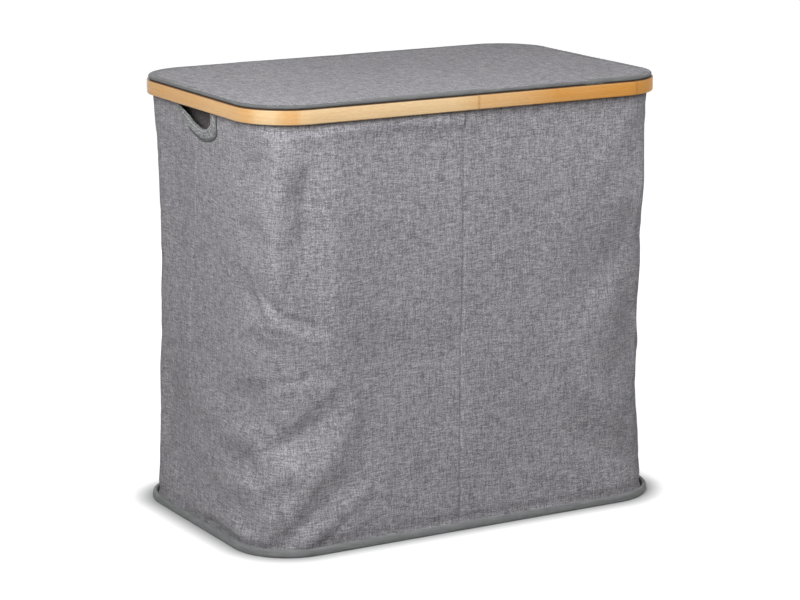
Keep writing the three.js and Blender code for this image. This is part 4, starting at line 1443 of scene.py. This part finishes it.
def build_divider():
    """The sewn divider between the bins and the tape over its top edge."""
    low, high = box_of("divider_panel")
    cell = 6 * MM
    across, up = round((high[1] - low[1]) / cell), round((high[2] - low[2]) / cell)
    for side, name in ((-1, "left"), (1, "right")):

        def place(i, j):
            y = low[1] + (high[1] - low[1]) * i / across
            z = low[2] + (high[2] - low[2]) * j / up
            rim = np.sin(math.pi * i / across) * np.sin(math.pi * j / up)
            puff = 0.5 + 0.35 * soft_noise(y + 0.5 * side, z, 0.07, 0.12, 81)
            x = side * (high[0] - 0.55 * MM + puff * np.sqrt(np.maximum(rim, 0)) * 0.6 * MM)
            return rows_of(x, y, z), rows_of(y, z)

        cloth = cloth_grid(f"divider_cloth_{name}", across, up, place)
        nodes = ("divider_panel",) if side < 0 else ()
        make_up(cloth, lambda n, c: n.x * side > 0, 0.5 * MM, "bag", "hamper", "bag_cloth", *nodes)

    low, high = box_of("divider_binding")
    half = high[0]
    bend = [
        (half * math.cos(angle), high[2] - half + half * math.sin(angle))
        for angle in np.radians(np.linspace(180, 0, 9))
    ]
    section = np.array([(-half * 0.9, low[2]), *bend, (half * 0.9, low[2])])
    count = round((high[1] - low[1]) / cell)
    walk = walked(section)

    def place_tape(i, j):
        y = low[1] + (high[1] - low[1]) * i / count
        x, z = section[j].T
        sway = 0.2 * MM * soft_noise(y, z * 0, 0.04, 1.0, 82)
        return rows_of(x + sway, y, z), rows_of(y, walk[j])

    tape = cloth_grid("divider_tape", count, len(section) - 1, place_tape)
    make_up(tape, lambda n, c: n.z > 0 or n.x * c.x > 0, 0.6 * MM, "tape", "hamper", "binding",
            "divider_binding")  # fmt: skip
    y = np.linspace(low[1] + 3 * MM, high[1] - 3 * MM, 200)
    for side, name in ((-1, "left"), (1, "right")):
        row = rows_of(side * half * 0.95, y, low[2] + 2 * MM)
        sew(f"divider_stitches_{name}", row, (side, 0, 0), "thread", "hamper", "binding")


def build_rods():
    """Support rods and caps keep their CAD shape. Each rod has a gathered cloth sleeve."""
    turns, radius = 16, 3.7 * MM
    for corner in CORNERS:
        dress("rod", f"rod_{corner}")
        dress("cap", f"rod_cap_low_{corner}", f"rod_cap_top_{corner}")
        low, high = box_of(f"rod_sleeve_{corner}")
        centre = (low + high) / 2
        up = round((high[2] - low[2]) / (7 * MM))

        def place(i, j):
            angle = i / turns * 2 * math.pi
            z = low[2] + (high[2] - low[2]) * j / up
            pleat = 0.30 * soft_noise(angle * 0.02, z + centre[0], 0.4, 0.03, 91)
            reach = radius + pleat * MM
            x = centre[0] + reach * np.cos(angle)
            y = centre[1] + reach * np.sin(angle)
            return rows_of(x, y, z), rows_of(angle * radius, z)

        sleeve = cloth_grid(f"rod_sleeve_cloth_{corner}", turns, up, place)
        make_up(sleeve, away_from(*centre[:2]), 0.5 * MM, "cloth", "hamper", "cloth",
                f"rod_sleeve_{corner}", angle=80)  # fmt: skip
    dress("board", "base_board_left", "base_board_right")


def bag_plan(low, high, side):
    """Plan of a bag with its own corner radii: points and outward directions, and the way round."""
    radii = {side: 48.5 * MM, -side: 25 * MM}
    corners = []
    for sign_x, sign_y, start in ((1, -1, -90), (1, 1, 0), (-1, 1, 90), (-1, -1, 180)):
        radius = radii[sign_x]
        edge_x = high[0] if sign_x > 0 else low[0]
        edge_y = high[1] if sign_y > 0 else low[1]
        x, y = edge_x - sign_x * radius, edge_y - sign_y * radius
        for step in np.linspace(0, 90, 13):
            angle = math.radians(start + step)
            to_x, to_y = math.cos(angle), math.sin(angle)
            corners.append((x + radius * to_x, y + radius * to_y, to_x, to_y))
    closed = np.array([*corners, corners[0]])
    return closed, walked(closed[:, :2])


def build_bag(side):
    """One lift-out bag: its sagging shell, bottom, hem, two carry straps and two tabs."""
    name = "left" if side < 0 else "right"
    low, high = box_of(f"bag_{name}_body")
    outline, along = bag_plan(low, high, side)
    total = along[-1]
    middle = (low + high) / 2
    cell, hem_rows = 6 * MM, 6

    def ring(s, z, out):
        x, y, nx, ny = looked_up(s % total, along, outline).T
        norm = np.hypot(nx, ny)
        return rows_of(x + out * nx / norm, y + out * ny / norm, z)

    def mouth(s, share, start):
        """How the bag's mouth waves, from a share of the height on."""
        return smooth(start, 1.0, share) * 0.8 * soft_noise(s * 1.5 + side, s * 0, 0.06, 1.0, 103) * MM

    across, up = round(total / cell), round((high[2] - low[2]) / cell)

    def shell(i, j):
        s = i / across * total
        z = low[2] + (high[2] - low[2]) * j / up
        slack = np.sin(math.pi * j / up) ** 0.6
        wide = soft_noise(s * 1.5 + side, z, 0.11, 0.24, 101)
        fine = soft_noise(s * 1.5 + side, z, 0.035, 0.08, 102)
        out = (-2.6 + 2.4 * wide + 0.9 * fine) * slack * MM - 0.4 * MM
        return ring(s, z, out + np.minimum(mouth(s, j / up, 0.9), 0.2 * MM)), rows_of(s, z)

    body = cloth_grid(f"bag_{name}_shell", across, up, shell)
    outside = away_from(*middle[:2])
    make_up(body, outside, 0.8 * MM, "bag", "hamper", "bag_cloth", f"bag_{name}_body", angle=75)

    floor_low, floor_high = box_of(f"bag_{name}_bottom")
    half_x, half_y = (floor_high[:2] - floor_low[:2]) / 2

    def sag(x, y):
        return 0.35 * MM * soft_noise(x, y + 0.4, 0.05, 0.05, 104)

    plan = Plan(half_x, half_y, 34 * MM)
    bottom = flat_cloth(f"bag_{name}_floor", plan, floor_high[2], 8 * MM, sag)
    shift = (floor_high + floor_low) / 2
    set_points(bottom, points_of(bottom) + (shift[0], shift[1], 0))
    thicken(bottom, 0.7 * MM)
    finish(bottom, "bag", "hamper", "bag_cloth", f"bag_{name}_bottom")

    hem_low, hem_high = box_of(f"bag_{name}_hem")

    def hem_place(i, j):
        s = i / across * total
        share = j / hem_rows
        z = hem_low[2] + (hem_high[2] - hem_low[2]) * share
        uneven = 0.2 * MM * soft_noise(s * 1.5, z, 0.02, 0.02, 105)
        out = 0.75 * MM + 0.35 * MM * np.sin(math.pi * share) + uneven
        return ring(s, z, out + np.minimum(mouth(s, share, 0.2), 0.0)), rows_of(s, z)

    hem = cloth_grid(f"bag_{name}_hem_band", across, hem_rows, hem_place)
    make_up(hem, outside, 0.7 * MM, "bag", "hamper", "bag_cloth", f"bag_{name}_hem", angle=75)
    s = np.linspace(0, total, 700)
    to_x, to_y = looked_up(s, along, outline)[:, 2:].T
    inward = rows_of(-to_x, -to_y, 0.0)
    row = ring(s, hem_low[2] + 2.5 * MM, -1.3 * MM)
    sew(f"bag_{name}_hem_stitches", row, inward, "dark_thread", "hamper", "bag_cloth")
    for end in ("front", "rear"):
        build_strap(name, end)
        build_tab(name, end)


def build_strap(bag, place_name):
    """A carry strap: webbing down, round and up again, sewn to the bag at both ends."""
    node = f"bag_{bag}_strap_{place_name}"
    low, high = box_of(node)
    middle = (low + high) / 2
    width, thick = 24 * MM, 0.8 * MM
    reach = (high[0] - low[0]) / 2 - width / 2
    bend = low[2] + reach + width / 2
    facing = 1 if place_name == "front" else -1
    line = [(-reach, z, 1.0, 0.0) for z in np.linspace(high[2], bend, 12, endpoint=False)]
    for angle in np.radians(np.linspace(180, 360, 37)):
        to_x, to_z = math.cos(angle), math.sin(angle)
        line.append((reach * to_x, bend + reach * to_z, -to_x, -to_z))
    line += [(reach, z, -1.0, 0.0) for z in np.linspace(bend, high[2], 13)[1:]]
    line = np.array(line)
    walk = walked(line[:, :2])
    section = np.array([
        (-0.5, -0.6), (-0.47, -1), (0.0, -1.1), (0.47, -1), (0.5, -0.6), (0.5, 0.6), (0.47, 1),
        (0.0, 1.1), (-0.47, 1), (-0.5, 0.6),
    ])  # fmt: skip

    def place(i, j):
        x, z, to_x, to_z = line[i].T
        across, lift = section[j % len(section)].T
        bow = 0.5 * MM * np.sin(walk[i] / walk[-1] * math.pi * 3 + (bag == "left"))
        y = middle[1] + facing * (lift * thick + bow * smooth(0, 0.2, i / len(line)))
        x, z = middle[0] + x + across * width * to_x, z + across * width * to_z
        return rows_of(x, y, z), rows_of(walk[i], j * 2.7 * MM)

    strap = cloth_grid(f"{node}_webbing", len(line) - 1, len(section), place)
    weld(strap, True)
    cap_ends(strap)
    finish(strap, "webbing", "hamper", "webbing", node, angle=60)
    box = np.array([(-9, -3), (9, -3), (9, -15), (-9, -15), (-9, -3), (9, -15)]) * MM
    path = spaced(box, 60)
    for x, end in ((-reach, "left"), (reach, "right")):
        y = middle[1] + facing * MM
        row = rows_of(middle[0] + x + path[:, 0], y, high[2] + path[:, 1])
        sew(f"{node}_stitches_{end}", row, (0, facing, 0), "dark_thread", "hamper", "webbing",
            3.4 * MM, 2.6 * MM)  # fmt: skip


def cap_ends(piece):
    """Closes the open ends of a swept piece."""
    editing(piece)
    pick(piece, "EDGE", lambda e: e.is_boundary)
    bpy.ops.mesh.fill_holes(sides=0)
    bpy.ops.mesh.select_all(action="SELECT")
    bpy.ops.mesh.normals_make_consistent(inside=False)
    leave_editing()


def build_tab(bag, place_name):
    """A tab that holds the bag's mouth to the wall: up, over and down."""
    node = f"bag_{bag}_tab_{place_name}"
    low, high = box_of(node)
    facing = -1 if place_name == "front" else 1
    wall_y, bag_y = (low[1], high[1]) if facing < 0 else (high[1], low[1])
    half = 0.8 * MM
    turn, crown = facing * (half + 1.2 * MM), high[2] - half
    wall_side, bag_side = wall_y - facing * half, bag_y + facing * half
    line = np.array([
        (bag_side, high[2] - 11.5 * MM), (bag_side, high[2] - 4 * MM),
        (bag_y + turn, crown - 0.5 * MM), ((bag_y + wall_y) / 2, crown),
        (wall_y - turn, crown - 0.5 * MM), (wall_side, high[2] - 4 * MM),
        (wall_side, low[2] + 0.5 * MM),
    ])  # fmt: skip
    line = even_curve(line, 40)
    step = np.gradient(line, axis=0)
    normal = rows_of(-step[:, 1], step[:, 0])
    normal /= np.linalg.norm(normal, axis=1, keepdims=True)
    rows = 10

    def place(i, j):
        x = low[0] + (high[0] - low[0]) * j / rows
        swell = 0.15 * MM * soft_noise(x, 0 * x + i * 0.002, 0.012, 0.01, 111)
        yz = line[i] + normal[i] * (half * 0.6 + swell)[:, None]
        return rows_of(x, yz[:, 0], yz[:, 1]), rows_of(i * 1.2 * MM, x)

    tab = cloth_grid(f"bag_{bag}_tab_cloth_{place_name}", len(line) - 1, rows, place)
    make_up(tab, lambda n, c: n.z > 0, 1.0 * MM, "webbing", "hamper", "webbing", node, angle=60)


# Stage

FLOOR_GREY, FLOOR_WIDTH = (0.32, 0.32, 0.32, 1.0), 24
LAMP_AIM, LAMP_SIZE = Vector((0, 0, 0.35)), 1.2


def build_camera():
    """Camera at the photograph's angle."""
    camera = bpy.data.objects.new("camera", bpy.data.cameras.new("camera"))
    bpy.context.scene.collection.objects.link(camera)
    camera.data.sensor_width = 36.0
    camera.data.lens = 123.64
    camera.data.clip_end = 50.0
    azimuth, elevation, distance = math.radians(-29.86), math.radians(12.9), 3.9279
    aim_height, aim_right, aim_up = 0.304, -0.0008, -0.0184
    back = Vector((
        math.sin(azimuth) * math.cos(elevation), -math.cos(azimuth) * math.cos(elevation),
        math.sin(elevation),
    ))  # fmt: skip
    right = Vector((math.cos(azimuth), math.sin(azimuth), 0))
    up = back.cross(right)
    target = Vector((0, 0, aim_height)) + aim_right * right + aim_up * up
    camera.location = target + distance * back
    camera.rotation_euler = back.to_track_quat("Z", "Y").to_euler()
    bpy.context.scene.camera = camera


def build_lamp(name, place, watts):
    """A soft square lamp turned to the middle of the hamper."""
    made = bpy.data.objects.new(name, bpy.data.lights.new(name, "AREA"))
    bpy.context.scene.collection.objects.link(made)
    made.data.shape = "RECTANGLE"
    made.data.size = made.data.size_y = LAMP_SIZE
    made.data.energy = watts
    made.location = place
    made.rotation_euler = (Vector(place) - LAMP_AIM).to_track_quat("Z", "Y").to_euler()


def build_surround(strength):
    """Even light from all round, with a plain white background for what is seen directly."""
    world = bpy.data.worlds.new("studio")
    bpy.context.scene.world = world
    world.use_nodes = True
    w = Nodes(world.node_tree)
    w.tree.nodes.clear()
    white = (1.0, 1.0, 1.0, 1.0)
    room, backdrop = (w.node("ShaderNodeBackground", white, s).outputs[0] for s in (strength, 1.0))
    mixed = w.node("ShaderNodeMixShader", w.seen_direct(), room, backdrop)
    w.node("ShaderNodeOutputWorld", mixed.outputs[0])


def build_floor():
    """A pale floor whose glow grows away from the base's outline up to the white surround: a painted
    contact shadow round the base, and painted light over the object's shadow further out.
    """
    only()
    bpy.ops.mesh.primitive_grid_add(x_subdivisions=8, y_subdivisions=8, size=FLOOR_WIDTH)
    floor = bpy.context.object
    floor.name = floor.data.name = "studio_floor"
    foot = Plan(FOOT_HIGH[0], FOOT_HIGH[1], sizes().foot_radius)
    f = Finish("pale floor", 0.9, Base_Color=FLOOR_GREY, Specular_IOR_Level=0.0)
    # Distance from the base's outline
    off = f.vector("SUBTRACT", f.vector("ABSOLUTE", f.object_place()), (foot.core_x, foot.core_y, 0.0))
    over_x, over_y = (f.math("MAXIMUM", part, 0.0) for part in f.split(off)[:2])
    squares = f.add(f.times(over_x, over_x), f.times(over_y, over_y))
    away = f.math("SUBTRACT", f.math("SQRT", squares), foot.radius)
    # No glow at the base, growing over 42 mm: painted contact shadow; beyond it the glow lights away
    # the object's shadow
    near = f.fit(away, -0.012, 0.042, 0.0, 0.88, interpolation_type="SMOOTHSTEP")
    strength = f.add(near, f.fit(away, 0.3, 1.2, 0.0, 0.12))
    painted_floor_glow = f.set(f.node("ShaderNodeEmission"), Strength=f.times(f.seen_direct(), strength))
    added = f.node("ShaderNodeAddShader", painted_floor_glow.outputs[0], f.shader.outputs[0])
    f.set(f.tree.nodes["Material Output"], Surface=added.outputs[0])
    floor.data.materials.append(f.material)


def build_stage():
    """Camera at the photograph's angle, soft lamps, a pale floor and a white surround."""
    light = bpy.context.scene.hamper_light
    build_camera()
    build_lamp("left_lamp", (-1.277, -0.737, 1.382), light.key_watts)
    build_lamp("right_lamp", (0.472, -1.296, 1.507), light.side_watts)
    build_lamp("rear_lamp", (0.45, 1.72, 0.50), light.rear_watts)
    build_surround(light.room)
    build_floor()
    bpy.context.scene.view_settings.view_transform = "Standard"


# Operators


class HAMPER_OT_stage(bpy.types.Operator):
    """Sets up the camera, the lamps and the floor"""

    bl_idname = "hamper.stage"
    bl_label = "Stage"

    def execute(self, context):
        build_stage()
        return {"FINISHED"}


class HAMPER_OT_hoop(bpy.types.Operator):
    """Builds the bent bamboo hoop"""

    bl_idname = "hamper.hoop"
    bl_label = "Bamboo hoop"

    def execute(self, context):
        build_hoop()
        return {"FINISHED"}


class HAMPER_OT_foot(bpy.types.Operator):
    """Builds the bound edge round the base and the cloth under it"""

    bl_idname = "hamper.foot"
    bl_label = "Base edge"

    def execute(self, context):
        build_foot()
        return {"FINISHED"}


class HAMPER_OT_walls(bpy.types.Operator):
    """Builds the four draped cloth panels"""

    bl_idname = "hamper.walls"
    bl_label = "Cloth walls"

    def execute(self, context):
        build_walls()
        return {"FINISHED"}


class HAMPER_OT_hand_holes(bpy.types.Operator):
    """Builds the bindings round the two hand holes"""

    bl_idname = "hamper.hand_holes"
    bl_label = "Hand holes"

    def execute(self, context):
        build_hand_hole(-1, "left")
        build_hand_hole(1, "right")
        return {"FINISHED"}


class HAMPER_OT_hem(bpy.types.Operator):
    """Builds the hem tape inside the hoop and dresses the staples"""

    bl_idname = "hamper.hem"
    bl_label = "Hem and staples"

    def execute(self, context):
        build_hem()
        return {"FINISHED"}


class HAMPER_OT_divider(bpy.types.Operator):
    """Builds the divider between the bins"""

    bl_idname = "hamper.divider"
    bl_label = "Divider"

    def execute(self, context):
        build_divider()
        return {"FINISHED"}


class HAMPER_OT_rods(bpy.types.Operator):
    """Dresses the support rods and builds their sleeves"""

    bl_idname = "hamper.rods"
    bl_label = "Support rods"

    def execute(self, context):
        build_rods()
        return {"FINISHED"}


class HAMPER_OT_bags(bpy.types.Operator):
    """Builds the two lift-out bags with their straps and tabs"""

    bl_idname = "hamper.bags"
    bl_label = "Lift-out bags"

    def execute(self, context):
        build_bag(-1)
        build_bag(1)
        return {"FINISHED"}


class HAMPER_OT_lid(bpy.types.Operator):
    """Builds the lid's cloths, tape and stitches"""

    bl_idname = "hamper.lid"
    bl_label = "Lid"

    def execute(self, context):
        build_lid()
        return {"FINISHED"}


class HAMPER_OT_hinge(bpy.types.Operator):
    """Builds the cloth strip that the lid turns on"""

    bl_idname = "hamper.hinge"
    bl_label = "Lid hinge"

    def execute(self, context):
        build_hinge()
        return {"FINISHED"}


STEPS = (
    HAMPER_OT_stage,
    HAMPER_OT_hoop,
    HAMPER_OT_foot,
    HAMPER_OT_walls,
    HAMPER_OT_hand_holes,
    HAMPER_OT_hem,
    HAMPER_OT_divider,
    HAMPER_OT_rods,
    HAMPER_OT_bags,
    HAMPER_OT_lid,
    HAMPER_OT_hinge,
)


class HAMPER_PT_steps(bpy.types.Panel):
    """Lists the steps that build the hamper"""

    bl_label = "Laundry hamper"
    bl_idname = "HAMPER_PT_steps"
    bl_space_type = "VIEW_3D"
    bl_region_type = "UI"
    bl_category = "Hamper"

    def draw(self, context):
        for step in STEPS:
            self.layout.operator(step.bl_idname)
        for group in ("hamper_sizes", "hamper_colours", "hamper_light"):
            settings = getattr(context.scene, group)
            for name in settings.__annotations__:
                self.layout.prop(settings, name)


CLASSES = (HamperSizes, HamperColours, HamperLight, *STEPS, HAMPER_PT_steps)


def register():
    for item in CLASSES:
        bpy.utils.register_class(item)
    bpy.types.Scene.hamper_sizes = bpy.props.PointerProperty(type=HamperSizes)
    bpy.types.Scene.hamper_colours = bpy.props.PointerProperty(type=HamperColours)
    bpy.types.Scene.hamper_light = bpy.props.PointerProperty(type=HamperLight)


def unregister():
    del bpy.types.Scene.hamper_light
    del bpy.types.Scene.hamper_colours
    del bpy.types.Scene.hamper_sizes
    for item in reversed(CLASSES):
        bpy.utils.unregister_class(item)


def main():
    register()
    for step in STEPS:
        group, name = step.bl_idname.split(".")
        getattr(getattr(bpy.ops, group), name)()


if __name__ == "__main__":
    main()
